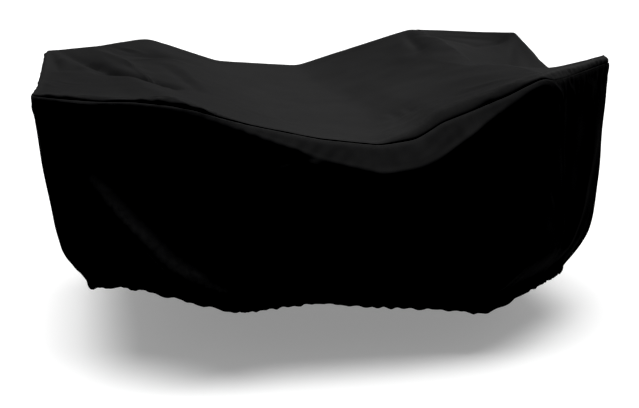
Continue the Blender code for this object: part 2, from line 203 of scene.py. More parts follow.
# %% The cloth below it
# place, lip out, lip drop, shoulder out, shoulder drop, belly out, belly z, tuck z
DRAPE = (
    ("left front corner", 0.014, 0.005, 0.018, 0.040, -0.018, -0.305, -0.455),
    ("front left ridge, left", 0.014, 0.013, 0.018, 0.038, -0.012, -0.310, -0.455),
    ("front left ridge, middle", 0.013, 0.014, 0.018, 0.037, -0.008, -0.318, -0.455),
    ("front left ridge, right", 0.012, 0.008, 0.018, 0.036, -0.004, -0.324, -0.455),
    ("front left corner", 0.012, 0.028, 0.018, 0.030, 0.000, -0.330, -0.455),
    ("front left corner, falling", 0.010, 0.019, 0.018, 0.022, 0.004, -0.340, -0.458),
    ("left top seam, front", 0.008, 0.010, 0.020, 0.018, 0.008, -0.350, -0.460),
    ("front, falling", 0.005, 0.007, 0.030, 0.022, 0.020, -0.370, -0.465),
    ("front, near the low", 0.004, 0.006, 0.045, 0.056, 0.028, -0.380, -0.470),
    ("front, low", 0.004, 0.006, 0.067, 0.076, 0.030, -0.390, -0.490),
    ("front, rolled lip", 0.022, 0.031, 0.085, 0.076, 0.030, -0.395, -0.500),
    ("front, tallest lip", 0.030, 0.036, 0.097, 0.082, 0.028, -0.400, -0.505),
    ("front, rising", 0.030, 0.035, 0.090, 0.060, 0.022, -0.400, -0.515),
    ("front, near the right ridge", 0.019, 0.030, 0.040, 0.024, 0.004, -0.395, -0.522),
    ("front right corner", 0.012, 0.012, 0.020, 0.014, -0.018, -0.390, -0.532),
    ("front right corner, turned", 0.026, 0.027, 0.032, 0.036, -0.020, -0.400, -0.536),
    ("skirt seam, right", 0.030, 0.028, 0.032, 0.040, -0.022, -0.415, -0.545),
    ("right front corner", 0.013, 0.028, 0.009, 0.040, -0.042, -0.412, -0.562),
    ("right, low", 0.005, 0.010, 0.040, 0.070, 0.024, -0.360, -0.490),
    ("right back corner", 0.006, 0.028, 0.010, 0.050, -0.024, -0.330, -0.480),
    ("right top seam, back", 0.006, 0.028, 0.014, 0.050, -0.012, -0.345, -0.480),
    ("back right corner", 0.006, 0.026, 0.014, 0.050, -0.014, -0.350, -0.480),
    ("back, low", 0.005, 0.008, 0.042, 0.070, 0.026, -0.370, -0.470),
    ("back left corner", 0.008, 0.022, 0.014, 0.050, -0.014, -0.330, -0.440),
    ("left top seam, back", 0.010, 0.024, 0.018, 0.050, -0.012, -0.320, -0.440),
    ("left back corner", 0.010, 0.024, 0.020, 0.050, -0.020, -0.300, -0.430),
    ("left, taut", 0.010, 0.018, 0.024, 0.050, 0.000, -0.320, -0.430),
)
print("the lip is up to", 1000 * max(row[2] for row in DRAPE), "mm deep")

# %% The hem
# place, x, y, z
HEM = (
    ("left front corner", -0.752, -0.500, -0.486),
    ("front left ridge, left", -0.656, -0.550, -0.468),
    ("front left ridge, middle", -0.560, -0.600, -0.472),
    ("front left ridge, right", -0.413, -0.679, -0.494),
    ("front left corner", -0.266, -0.757, -0.514),
    ("front, falling", -0.150, -0.727, -0.516),
    ("front, near the low", 0.000, -0.712, -0.512),
    ("front, low", 0.160, -0.704, -0.537),
    ("front, rising", 0.400, -0.702, -0.561),
    ("front right corner", 0.524, -0.703, -0.582),
    ("skirt seam, right", 0.690, -0.470, -0.590),
    ("right front corner", 0.843, -0.262, -0.590),
    ("right, low", 0.748, -0.020, -0.580),
    ("right back corner", 0.692, 0.296, -0.582),
    ("back right corner", 0.312, 0.636, -0.575),
    ("back, low", -0.100, 0.700, -0.530),
    ("back left corner", -0.545, 0.802, -0.535),
    ("left back corner", -0.880, 0.419, -0.525),
    ("left, taut", -0.780, -0.060, -0.480),
)
print("the hem hangs between", min(row[3] for row in HEM), "and", max(row[3] for row in HEM), "m")

# %% [markdown]
# The lines are needed at every station, so the lists are filled in straight between their places and then evened
# out once, which rounds the corners as the solids do. The skirt's lines are found outwards from the edge, except
# the hem, which the elastic draws in to places of its own.

# %% From places to stations
ROUNDING = 0.13  # how far a station is drawn towards its neighbours


def station_of(place):
    """The number of the station at a place of EDGE."""
    names = [row[0] for row in EDGE]
    return sum(row[-1] for row in EDGE[: names.index(place)])


def round_the_loop(rows, *columns):
    """These columns of a list, filled in at every station and evened out."""
    knots = [station_of(row[0]) for row in rows]
    found = [np.interp(np.arange(STATIONS), knots, [row[c] for row in rows], period=STATIONS) for c in columns]
    values = np.stack(found, axis=-1)
    return (1 - 2 * ROUNDING) * values + ROUNDING * (np.roll(values, 1, axis=0) + np.roll(values, -1, axis=0))


def unit(vectors):
    return vectors / np.linalg.norm(vectors, axis=-1, keepdims=True)


def outward(plan):
    """The level directions that point away from the cover along a line going round it."""
    along = np.roll(plan, -1, axis=0) - np.roll(plan, 1, axis=0)
    return unit(np.stack([along[:, 1], -along[:, 0]], axis=1))


print("the seam of the skirt is at station", station_of("skirt seam, right"))

# %% The lines at every station
TUCK_OUT = 0.012  # the foot of the tuck stands this far outside the hem
# The rows down the cloth: 0 is the edge, 1 the seam, 2 the shoulder, 3 the belly, 4 the tuck and 5 the hem
LEVELS = (0.0, 0.5, 1.0, 1.4, 1.8, 2.0, 2.06, 2.2, 2.45, 2.7, 2.9, 3.15, 3.45, 3.75, 4.0, 4.5, 5.0)
SEAM_ROW = LEVELS.index(1.0)
ROUNDED_ROWS = slice(LEVELS.index(2.2), LEVELS.index(4.0))


def hanging_lines():
    """The cloth below the edge, one row of places for each of LEVELS."""
    edge, hem = round_the_loop(EDGE, 1, 2, 3), round_the_loop(HEM, 1, 2, 3)
    drape = round_the_loop(DRAPE, *range(1, 8)).T
    lip_out, lip_drop, shoulder_out, shoulder_drop, belly_out, belly_z, tuck_z = drape
    plan, away = edge[:, :2], outward(edge[:, :2])
    seam_z = edge[:, 2] - lip_drop
    plans = [plan] + [plan + away * out[:, None] for out in (lip_out, shoulder_out, belly_out)]
    plans += [hem[:, :2] + outward(hem[:, :2]) * TUCK_OUT, hem[:, :2]]
    heights = (edge[:, 2], seam_z, seam_z - shoulder_drop, belly_z, tuck_z, hem[:, 2])
    whole = np.stack([np.column_stack(pair) for pair in zip(plans, heights)])
    rows = []
    for level in LEVELS:
        low = min(int(level), len(whole) - 2)
        rows.append(whole[low] + (whole[low + 1] - whole[low]) * (level - low))
    grid = np.stack(rows)
    even = 0.5 * grid[1:-1] + 0.25 * (grid[:-2] + grid[2:])
    grid[ROUNDED_ROWS] = even[ROUNDED_ROWS.start - 1 : ROUNDED_ROWS.stop - 1]
    return grid


LINES = hanging_lines()
edge_lengths = np.linalg.norm(np.roll(LINES[0], -1, axis=0) - LINES[0], axis=1)
LOOP = edge_lengths.sum()
ROUND = np.append(0.0, np.cumsum(edge_lengths))  # distance round the edge at each station, and at the end
print(f"the edge is {LOOP:.2f} m round")

# %% [markdown]
# ## From lines to smooth cloth
# A sheet needs a point every few millimetres, and its stations are some 50 mm apart. A Catmull-Rom curve passes
# through its points and bends smoothly between them, so the fine sheet lies on the solids without their facets.
# A grid is refined first along one way and then along the other.

# %% A smooth curve through points
def curve_at(points, where, closed=False):
    """Places on the smooth curve through points, at fractional places in their list."""
    count = len(points)
    where = np.asarray(where, float)
    low = np.floor(where).astype(int)
    if closed:
        four = [points[(low + k) % count] for k in (-1, 0, 1, 2)]
    else:
        low = np.clip(low, 0, count - 2)
        ends = np.concatenate([2 * points[:1] - points[1:2], points, 2 * points[-1:] - points[-2:-1]])
        four = [ends[low + k] for k in (0, 1, 2, 3)]
    t = (where - low)[(..., *[None] * (points.ndim - 1))]
    a, b, c, d = four
    return b + 0.5 * t * (c - a + t * (2 * a - 5 * b + 4 * c - d + t * (3 * (b - c) + d - a)))


def normals_of(grid):
    """The outward normals of a grid of rows down the cloth and columns against the clock."""
    return unit(np.cross(np.gradient(grid, axis=0), np.gradient(grid, axis=1)))


print("the edge half a station from its start:", curve_at(LINES[0], [0.5], closed=True)[0].round(3))

# %% [markdown]
# ## Folds, ripples and what a seam does
# The main folds are placed one by one, each as a soft ridge or trough between two points. Real cloth is never even,
# so small ripples are added: a few waves of different lengths whose sum repeats nowhere on the cover. The waves come
# from a seeded generator, so that they are the same each time.

# %% Folds and ripples
FOLD_END = 0.15  # where on a half wave a fold starts along its length, so that it ends in a low step
WAVES, WAVE_SIZES = 7, (0.6, 1.6)  # number of waves in a ripple, and their lengths as shares of the one asked for


def fold_heights(folds, places, loop=None):
    """The sum of the soft folds' heights at each place. The first coordinate comes round again after a loop."""
    total = np.zeros(places.shape[:-1])
    for _, start, end, width, height in folds:
        along = np.subtract(end, start)
        offset = places - start
        if loop:
            offset[..., 0] = (offset[..., 0] + loop / 2) % loop - loop / 2
        share = rise(offset @ along, along @ along)
        away = np.linalg.norm(offset - share[..., None] * along, axis=-1)
        fade = np.sin(math.pi * (FOLD_END + (1 - 2 * FOLD_END) * share))
        total += height * fade * fade_out(away, width)
    return total


def ripples(u, v, wavelength, seed):
    """Uneven waves from about -1 to 1 over the directions u and v."""
    draw = np.random.default_rng(seed)
    total = np.zeros(np.broadcast(u, v).shape)
    for _ in range(WAVES):
        turn, size, phase = draw.uniform(0, math.tau), draw.uniform(*WAVE_SIZES), draw.uniform(0, math.tau)
        along = u * math.cos(turn) + v * math.sin(turn)
        total += np.sin(along * math.tau / (wavelength * size) + phase)
    return total / math.sqrt(WAVES / 2) / 2


def fade_out(distance, reach):
    """1 at no distance, and softly down to almost nothing at twice the reach."""
    return np.exp(-((distance / reach) ** 2))


def rise(distance, reach):
    """0 at no distance, and straight up to 1 at the reach."""
    return np.clip(distance / reach, 0, 1)


def fall(distance, reach):
    """1 at no distance, and straight down to 0 at the reach."""
    return np.clip(1 - distance / reach, 0, 1)


def unevenly(places, share, wavelength, seed):
    """Factors round 1 for places along a line, up to about this share more or less."""
    return 1 + share * ripples(places, 0.0, wavelength, seed)


print("a ripple at three places:", ripples(np.array([0.0, 0.1, 0.2]), 0.0, 0.16, seed=3).round(2))

# %% [markdown]
# A seam's own relief is a profile: the height of the cloth at each distance from the seam, measured across it. On
# this cover the panels are joined by felled seams, where the two edges of the cloth are folded into a flat strip
# and stitched down on both sides of it. At the skirt's upper edge the seam allowance is turned down and stitched
# through, which makes a welt. Little of it shows where the skirt hangs steeply or is gathered over a ridge: there,
# only the turned edge of its cloth stands out. The hem is turned up over the elastic, so it is thicker too.

# %% The profiles of the seams
# distance from the seam, height, in metres
FELLED = ((-0.012, 0.0), (-0.003, -0.0001), (0.0, -0.0001), (0.0012, 0.0004), (0.0025, 0.0001), (0.006, 0.0008),
          (0.0100, 0.0008), (0.0125, 0.0001), (0.0142, 0.0004), (0.0175, 0.0), (0.030, 0.0))
RUBBED_LINES = (0.0012, 0.0142)  # the strip's edges, which stand up and are rubbed pale
STITCH_ROWS = (0.0025, 0.0125)  # the two rows of stitches on the strip, from the seam
# distance from the seam, height
WELT = ((0.0, -0.0012), (0.0015, 0.0006), (0.0030, 0.0018), (0.0050, 0.0029), (0.0065, 0.0034), (0.0080, 0.0034),
        (0.0100, 0.0041), (0.0140, 0.0048), (0.0200, 0.0052), (0.0270, 0.0052), (0.0500, 0.0040), (0.0800, 0.0020),
        (0.1200, 0.0))
WELT_STITCHES = 0.0080
# place, share of that relief
WELT_SHARES = (("left front corner", 0.35), ("front left corner", 0.4), ("front, falling", 0.75),
               ("front, low", 1.0), ("front, near the right ridge", 0.8), ("front right corner", 0.4),
               ("right front corner", 0.2), ("right, low", 0.8), ("right back corner", 0.5), ("back, low", 0.8),
               ("left, taut", 0.5))
# distance from the seam, height
TURNED = ((0.0, -0.0012), (0.0015, 0.0008), (0.0030, 0.0020), (0.0050, 0.0030), (0.0065, 0.0032), (0.0100, 0.0028),
          (0.0200, 0.0012), (0.0270, 0.0))
# place, share of that relief
TURNED_SHARES = (("left front corner", 0.8), ("front left ridge, left", 1.0), ("front left corner", 1.0),
                 ("front, falling", 0.4), ("front, low", 0.0), ("front, near the right ridge", 0.3),
                 ("front right corner", 0.5), ("front right corner, turned", 0.0), ("left back corner", 0.0))
# distance from the hem, height
HEM_FOLD = ((0.0, 0.0016), (0.0020, 0.0030), (0.0100, 0.0034), (0.0200, 0.0026), (0.0220, 0.0006), (0.0250, 0.0),
            (0.0400, 0.0))
HEM_STITCHES = 0.0220


def profile(rows, distance):
    return np.interp(distance, *zip(*rows))


print(f"the strip of a felled seam is {1000 * (RUBBED_LINES[1] - RUBBED_LINES[0]):.0f} mm wide")

# %% [markdown]
# ## Where the rows and columns of a sheet go
# Most of the cloth is smooth and needs a point every 9 mm or so. Seams, the rolled edge and the hem need points
# about 2 mm apart, but only across them. So each sheet is a grid with close lines at its ends and even lines in
# between. This keeps the fine detail in the mesh itself for few faces.

# %% Close lines where they are needed
SPACING = 0.0088
ROLL_LINES = (0.0, 0.0015, 0.003, 0.005, 0.0075, 0.0105, 0.014, 0.019, 0.025, 0.032)  # distances from a fold
STRIP_LINES = tuple(d for d, _ in FELLED if d >= 0) + (0.037,)  # on the side of a seam that has its strip
UNDER_LINES = tuple(-d for d, _ in reversed(FELLED) if d <= 0) + (0.019,)  # on its other side


def spread(lengths, start, end, spacing=SPACING):
    """Distances along lines of these lengths: fixed ones at both ends, and even ones between them."""
    share = np.linspace(0, 1, round(np.max(lengths) / spacing) + 1)[1:-1, None]
    first = np.repeat(np.array(start)[:, None], len(lengths), axis=1)
    inner = start[-1] + (lengths - start[-1] - end[-1]) * share
    return np.concatenate([first, inner, lengths - np.array(end)[::-1, None]])


def lengths_along(places):
    """The distance along each column of a grid, from its first row."""
    steps = np.linalg.norm(np.diff(places, axis=0), axis=-1)
    return np.concatenate([np.zeros_like(steps[:1]), np.cumsum(steps, axis=0)])


def read_at(wanted, known, values):
    """Values of each column at the wanted places of what is known along it."""
    return np.stack([np.interp(w, k, v) for w, k, v in zip(wanted.T, known.T, values.T)], axis=-1)


print("lines next to a seam, in mm:", [round(d * 1000, 1) for d in STRIP_LINES])

# %% [markdown]
# ## The stretched top
# Cloth that is pulled tight between two edges runs straight from one to the other, so the top is a ruled surface
# from the back edge to the front edge. Its side panels are drawn out to the left and the right edge as well. Then
# it sags a little under its own weight, most in the middle, where it comes to rest on what it covers. A cloth
# simulation would find much the same surface slowly, and would lose the seams' exact places.

# %% The top's surface
CLOTH = 0.002  # thickness of the solids' cloth, which the top rests at
SAG = 0.008
MIDDLE_SAG = dict(x=0.05, width=0.30, depth=0.040)
REST_SOFTNESS = 0.014  # how gradually the sagging cloth comes to rest
REST_FADE = 6  # it may do so in full where it hangs freely by a sixth
SIDE_FADE = 3  # stations over which the sag starts, from the left and the right edge
LEFT_BACK, RIGHT_BACK = station_of("left back corner"), station_of("right back corner")
ACROSS, DEEP = station_of("right front corner"), STATIONS - LEFT_BACK
LEFT_SEAM, RIGHT_SEAM = station_of("left top seam, front"), station_of("front right corner")


def edge_at(station):
    return curve_at(LINES[0], station, closed=True)


def shown_at(row, column):
    """How freely the top hangs: 1 in its middle and 0 at its edges."""
    side = rise(np.minimum(column, ACROSS - column), SIDE_FADE)
    return np.sin(math.pi * row / DEEP) * side * side * (3 - 2 * side)


def top_at(row, column):
    """Places on the top at fractional stations, counted from the back edge and from the left edge."""
    down = (row / DEEP)[..., None]
    place = edge_at(LEFT_BACK - column) * (1 - down) + edge_at(column) * down
    for border, seam, station in ((0, LEFT_SEAM, LEFT_BACK + row), (ACROSS, RIGHT_SEAM, RIGHT_BACK - row)):
        share = rise(column - seam, border - seam)[..., None]
        straight = edge_at(np.array(LEFT_BACK - border)) * (1 - down) + edge_at(np.array(border)) * down
        place = place + share * (edge_at(station) - straight)
    shown = shown_at(row, column)
    middle = fade_out(place[..., 0] - MIDDLE_SAG["x"], MIDDLE_SAG["width"])
    above = place[..., 2] - shown * (SAG + MIDDLE_SAG["depth"] * middle) - CLOTH
    rested = CLOTH + (above + np.hypot(above, REST_SOFTNESS)) / 2
    place[..., 2] += (rested - place[..., 2]) * np.minimum(1.0, REST_FADE * shown)
    return place


print("the top is", ACROSS, "stations wide and", DEEP, "deep")

# %% [markdown]
# The three panels are laid out as one grid, so that their rows meet at the seams. Along each row the columns get
# fixed distances from the seams, whatever the width of the panel there. Along each column the rows get fixed
# distances from the folds at the back and the front.

# %% The top's grid
# first and last station, close lines at its first and its last column
PANELS = {"left": (0, LEFT_SEAM, ROLL_LINES, STRIP_LINES),
          "centre": (LEFT_SEAM, RIGHT_SEAM, UNDER_LINES, UNDER_LINES),
          "right": (RIGHT_SEAM, ACROSS, STRIP_LINES, ROLL_LINES)}
DENSE = 8  # places for each station when a line is measured

rows = np.linspace(0, DEEP, DENSE * DEEP + 1)
columns, from_first, from_last, panel_columns = [], [], [], {}
for panel, (first, last, start, end) in PANELS.items():
    dense = np.linspace(first, last, DENSE * 2 * (last - first) + 1)
    row_grid, column_grid = np.meshgrid(rows, dense)
    along = lengths_along(top_at(row_grid, column_grid))
    distances = spread(along[-1], start, end)
    begun = sum(part.shape[1] for part in columns)
    columns.append(read_at(distances, along, column_grid).T)
    from_first.append(distances.T)
    from_last.append((along[-1] - distances).T)
    panel_columns[panel] = slice(begun, begun + len(distances))
columns, from_first, from_last = (np.concatenate(parts, axis=1) for parts in (columns, from_first, from_last))

row_grid = np.repeat(rows[:, None], columns.shape[1], axis=1)
along = lengths_along(top_at(row_grid, columns))
from_back = spread(along[-1], ROLL_LINES, ROLL_LINES)
top_rows = read_at(from_back, along, row_grid)
top_columns = read_at(top_rows, row_grid, columns)
from_first = read_at(top_rows, row_grid, from_first)
from_last = read_at(top_rows, row_grid, from_last)
from_front = along[-1] - from_back
top_base = top_at(top_rows, top_columns)
print("the top's grid has", top_base.shape[0], "rows and", top_base.shape[1], "columns")

# %% [markdown]
# ## Folds on the top
# The hollow between the right ridges and the troughs along the left side are the ones that the solids have. The
# finer ones are pulls that start at the ridges' corners, where the cloth carries most. A narrow fold next to a
# wide one of the other sign reads as one pulled crease.

# %% The top's folds
# fold, from, to, width, height
TOP_FOLDS = (
    ("hollow between the right ridges", (0.550, -0.160), (0.850, -0.040), 0.280, -0.045),
    ("trough along the left, back half", (-0.930, 0.560), (-0.670, -0.080), 0.058, -0.018),
    ("trough along the left, front half", (-0.730, 0.020), (-0.460, -0.300), 0.058, -0.020),
    ("pull beside that trough", (-0.860, 0.620), (-0.640, 0.160), 0.040, 0.008),
    ("dip inside the back left ridge", (-0.700, 0.520), (-0.500, 0.470), 0.070, -0.014),
    ("crease from the back right corner", (0.425, 0.700), (0.425, 0.180), 0.038, -0.007),
    ("dip inside the back right ridge", (0.500, 0.580), (0.740, 0.440), 0.070, -0.018),
    ("pull from the right back corner", (0.775, 0.390), (0.690, 0.020), 0.040, 0.010),
    ("pull from the front right corner", (0.640, -0.620), (0.420, -0.380), 0.050, 0.004),
)
FINE_FOLDS = (
    ("deep line of the left trough, back", (-0.960, 0.540), (-0.775, 0.190), 0.023, -0.011),
    ("deep line of the left trough, middle", (-0.815, 0.270), (-0.640, -0.090), 0.025, -0.015),
    ("deep line of the left trough, front", (-0.710, 0.030), (-0.445, -0.265), 0.027, -0.021),
    ("crest behind that trough", (-0.840, 0.580), (-0.560, -0.010), 0.020, 0.007),
    ("crest before it", (-0.900, 0.300), (-0.700, -0.160), 0.030, 0.006),
    ("crest along the left seam", (-0.830, 0.660), (-0.430, -0.420), 0.012, 0.004),
    ("pull at the left back corner", (-0.950, 0.430), (-0.850, 0.060), 0.020, 0.006),
    ("crease beside that pull", (-0.975, 0.420), (-0.880, 0.000), 0.018, -0.010),
    ("crumple at the left front corner, one", (-0.880, -0.300), (-0.800, -0.470), 0.014, 0.004),
    ("crumple at the left front corner, two", (-0.850, -0.260), (-0.740, -0.400), 0.012, -0.004),
    ("crease from the back left corner, one", (-0.790, 0.690), (-0.690, 0.540), 0.016, -0.006),
    ("crease from the back left corner, two", (-0.730, 0.640), (-0.640, 0.540), 0.014, 0.005),
    ("dip below the back left ridge", (-0.690, 0.480), (-0.520, 0.500), 0.035, -0.010),
    ("bow of that dip", (-0.660, 0.330), (-0.480, 0.400), 0.018, 0.005),
    ("soft line to the front, left of the middle", (-0.530, 0.240), (-0.360, -0.300), 0.022, -0.006),
    ("its crest", (-0.480, 0.260), (-0.320, -0.280), 0.022, 0.005),
    ("line inside the falling back edge", (-0.520, 0.740), (-0.300, 0.790), 0.018, -0.007),
    ("crease from the back right corner, one", (0.400, 0.720), (0.430, 0.330), 0.020, -0.008),
    ("crest beside it", (0.440, 0.700), (0.520, 0.330), 0.022, 0.005),
    ("slack below the back right ridge, one", (0.460, 0.600), (0.640, 0.330), 0.026, -0.010),
    ("slack below the back right ridge, two", (0.640, 0.330), (0.770, 0.400), 0.026, -0.010),
    ("crest between them and the ridge", (0.560, 0.560), (0.720, 0.440), 0.020, 0.006),
    ("pull down from the right back corner", (0.790, 0.410), (0.730, 0.080), 0.022, 0.006),
    ("hollow beside that pull", (0.840, 0.330), (0.790, 0.060), 0.040, -0.007),
    ("pull to the front right corner, one", (0.480, -0.620), (0.640, -0.710), 0.018, 0.003),
    ("pull to the front right corner, two", (0.440, -0.660), (0.560, -0.700), 0.020, -0.003),
    ("ripple above the rolled lip, one", (0.236, -0.430), (0.250, -0.510), 0.010, 0.0022),
    ("ripple above the rolled lip, two", (0.260, -0.450), (0.274, -0.540), 0.010, -0.0022),
    ("ripple above the rolled lip, three", (0.284, -0.490), (0.298, -0.580), 0.010, 0.0022),
    ("ripple above the rolled lip, four", (0.308, -0.540), (0.322, -0.620), 0.010, -0.0022),
    ("slack above the rolled lip", (0.260, -0.660), (0.350, -0.735), 0.018, 0.004),
    ("trough above the rolled lip", (0.230, -0.640), (0.330, -0.710), 0.016, -0.002),
    ("long line before the middle", (-0.280, -0.420), (0.060, -0.560), 0.020, -0.003),
)
print(len(TOP_FOLDS), "main folds and", len(FINE_FOLDS), "fine ones on the top")

# %% [markdown]
# Every fold fades out towards the edge, where the cloth is taut: the wide ones early and the fine ones late. The
# cloth also ripples a little all over, crumples where it is slack by the rolled lip, and puckers along its seams,
# because a row of stitches is a little shorter than its cloth. Two panels share their normals along a seam, so
# that its relief can't part them.

# %% The top's relief
SEAM_PUCKER = dict(height=0.0010, wavelength=0.026, reach=0.020)
TOP_RIPPLE = dict(height=0.0016, wavelength=0.16)
SLACK = dict(x=0.270, y=-0.660, reach=0.110, height=0.0018, wavelength=0.045)


def top_normals_of(grid):
    """The normals of the top's grid, with the same ones on both sides of a seam."""
    normals = normals_of(grid)
    for panel in ("centre", "right"):
        after = panel_columns[panel].start
        normals[:, after - 1] = normals[:, after] = unit(normals[:, after - 1] + normals[:, after])
    return normals


x, y = top_base[..., 0], top_base[..., 1]
shown = shown_at(top_rows, top_columns)
fine_shown = shown**0.25  # fine folds reach nearer to the edge than wide ones
top_heights = fold_heights(TOP_FOLDS, top_base[..., :2]) * np.sqrt(shown)
top_heights += fold_heights(FINE_FOLDS, top_base[..., :2]) * fine_shown
top_heights += TOP_RIPPLE["height"] * shown * ripples(x, y, TOP_RIPPLE["wavelength"], seed=3)
slack = fade_out(np.hypot(x - SLACK["x"], y - SLACK["y"]), SLACK["reach"])
top_heights += SLACK["height"] * slack * fine_shown * ripples(x, y, SLACK["wavelength"], seed=7)

relief = np.zeros_like(top_heights)
for panel, part in panel_columns.items():
    sides = {"left": (from_last,), "centre": (from_first, from_last), "right": (from_first,)}[panel]
    for away in sides:
        near = away[:, part]
        relief[:, part] += profile(FELLED, -near if panel == "centre" else near)
        pucker = ripples(from_back[:, part], 0.0, SEAM_PUCKER["wavelength"], seed=5)
        relief[:, part] += SEAM_PUCKER["height"] * pucker * fade_out(near, SEAM_PUCKER["reach"])

top_places = top_base + top_heights[..., None] * (0.0, 0.0, 1.0)
top_places = top_places + top_normals_of(top_places) * relief[..., None]
print(f"the top lies between {top_places[..., 2].min():.3f} and {top_places[..., 2].max():.3f} m")

# %% [markdown]
# ## The lips
# Past the edge, each top panel goes on down to the seam that joins it to the skirt. This lip is wide where the
# cloth is rolled over a ridge and narrow where it is pulled tight. It bulges a little between its fold and its
# seam and turns in at the seam itself, which is dark. It is a second grid that starts with the border of the first.

# %% A lip under a border of the top
LIP_SHARES = np.array((0.0, 0.05, 0.11, 0.18, 0.27, 0.38, 0.50, 0.62, 0.74, 0.84, 0.92, 0.97, 1.0))
DENSE_LIP = 17  # places down a lip when its length is measured


def lip_base(stations):
    """A lip's places at these stations, and its distance down at each."""
    levels = curve_at(LINES[: SEAM_ROW + 1].swapaxes(0, 1), stations, closed=True).swapaxes(0, 1)
    line = curve_at(levels, np.linspace(0, SEAM_ROW, DENSE_LIP))
    along = lengths_along(line)
    distances = along[-1] * LIP_SHARES[:, None]
    base = np.stack([read_at(distances, along, line[..., axis]) for axis in range(3)], axis=-1)
    return base, distances


def borders_of(panel):
    """The borders of a panel that have lips, each a run of indices into the top's grid going round."""
    part, last = panel_columns[panel], len(top_base) - 1
    left, right = part.start, part.stop - 1
    front = [(last, c) for c in range(left, right + 1)]
    back = [(0, c) for c in range(right, left - 1, -1)]
    if panel == "left":
        return [back + [(r, left) for r in range(1, last)] + front]
    if panel == "right":
        return [front + [(r, right) for r in range(last - 1, 0, -1)] + back]
    return [front, back]


def station_at(index):
    """The station of a point on the top's border."""
    row, column = index
    if row == len(top_base) - 1:
        return top_columns[index]
    if row == 0:
        return LEFT_BACK - top_columns[index]
    return LEFT_BACK + top_rows[index] if column == 0 else RIGHT_BACK - top_rows[index]


lips = {}
for panel in PANELS:
    for number, border in enumerate(borders_of(panel)):
        stations = np.array([station_at(index) for index in border])
        base, down = lip_base(stations)
        lips[panel, number] = dict(border=border, stations=stations, base=base, down=down)
going_round = [("left", 0), ("centre", 0), ("right", 0), ("centre", 1)]  # each ends where the next one starts
MEETING = list(zip(going_round, going_round[1:] + going_round[:1]))
print("lips:", {f"{panel} {n}": lip["base"].shape[1] for (panel, n), lip in lips.items()})

# %% [markdown]
# The fold itself isn't sharp, because the cloth lies over padded edges. Each point near it is drawn in along the
# direction halfway between the top's and the lip's normals, most at the fold and less further off. The radius of
# the fold is given at a few places, and it varies a little on the way.

# %% Round the folds
# place, radius of the rolled edge
ROLL = (("left front corner", 0.008), ("front left corner", 0.009), ("front, falling", 0.008),
        ("front, low", 0.008), ("front, rolled lip", 0.018), ("front, tallest lip", 0.020),
        ("front, near the right ridge", 0.010), ("front right corner, turned", 0.020),
        ("right front corner", 0.018), ("right, low", 0.010), ("left, taut", 0.011))
LEAST_RADIUS, RADIUS_SHARE = 0.002, 0.8  # on a narrow lip: at least this, and this share of its drop more
ROLL_UNEVEN = dict(share=0.25, wavelength=0.12, seed=37)
INTO_LIP = 2  # the row of a lip whose direction stands for it, past the corner with the top
NEAR_SIDE = len(ROLL_LINES) + 2  # columns of the top that a side's fold may draw in


def value_at(rows, stations):
    """Values given at places, straight between them round the loop."""
    return np.interp(stations, [station_of(row[0]) for row in rows], [row[1] for row in rows], period=STATIONS)


def way_round(stations):
    """The distance round the edge at stations."""
    return np.interp(stations % STATIONS, np.arange(STATIONS + 1), ROUND)


for lip in lips.values():
    lip["normals"] = normals_of(lip["base"])
for before, after in MEETING:
    last, first = lips[before]["normals"], lips[after]["normals"]
    last[:, -1] = first[:, 0] = unit(last[:, -1] + first[:, 0])

draw_in = np.zeros(top_base.shape)
strength = np.zeros(top_base.shape[:2])
top_normals = top_normals_of(top_places)
last_row, last_column = len(top_base) - 1, top_base.shape[1] - 1
for lip in lips.values():
    at = tuple(np.array(lip["border"]).T)
    halfway = unit(top_normals[at] + lip["normals"][INTO_LIP])
    depth = np.linalg.norm(top_normals[at] - lip["normals"][INTO_LIP], axis=-1) / 4  # a round fold turns evenly
    radius = np.minimum(value_at(ROLL, lip["stations"]), RADIUS_SHARE * lip["down"][-1] + LEAST_RADIUS)
    radius = radius * unevenly(way_round(lip["stations"]), **ROLL_UNEVEN)
    lip["radius"], lip["halfway"], lip["depth"] = radius, halfway, depth
    for (row, column), r, way, share in zip(lip["border"], radius, halfway, depth):
        if row in (0, last_row):
            line = (slice(None), column)
            away = from_back[line] if row == 0 else from_front[line]
        else:
            line = (row, slice(None))
            away = from_first[line] if column == 0 else from_last[line]
            away = np.where(np.abs(np.arange(last_column + 1) - column) < NEAR_SIDE, away, 1.0)
        amount = share * r * fall(away, r) ** 2
        stronger = amount > strength[line]
        strength[line] = np.where(stronger, amount, strength[line])
        draw_in[line] = np.where(stronger[:, None], way, draw_in[line])
top_places = top_places - draw_in * strength[..., None]
print("the folds are rounded by up to", 1000 * max(r for _, r in ROLL), "mm")

# %% [markdown]
# A lip has a form of its own: it bulges where it is padded, turns in at its seam, crumples at the corners where its
# cloth is pushed together, and is gathered where it turns over the front right ridge. Its first row is then moved
# onto the border of the top, and the rows below it by less and less, so that the two are one cloth.

# %% Finish the lips
# place, how far the lip bulges out over its seam
PADDING = (("left front corner", 0.002), ("front left corner", 0.003), ("front, falling", 0.0015),
           ("front, low", 0.0015), ("front, rolled lip", 0.001), ("front, tallest lip", 0.0015),
           ("front, rising", 0.0015), ("front, near the right ridge", 0.002), ("front right corner", 0.002),
           ("right front corner", 0.002), ("right, low", 0.003), ("right back corner", 0.005),
           ("back right corner", 0.005), ("back, low", 0.002), ("left back corner", 0.004))
BULGE_UNEVEN = dict(share=0.6, wavelength=0.16, seed=31)
LOW_BULGE = 1.4  # over 1 puts the bulge below the middle of the lip
SEAM_TUCK = dict(depth=0.0035, after=0.8, over=0.2, full_from=0.012)  # in over the lip's last fifth; drop in metres
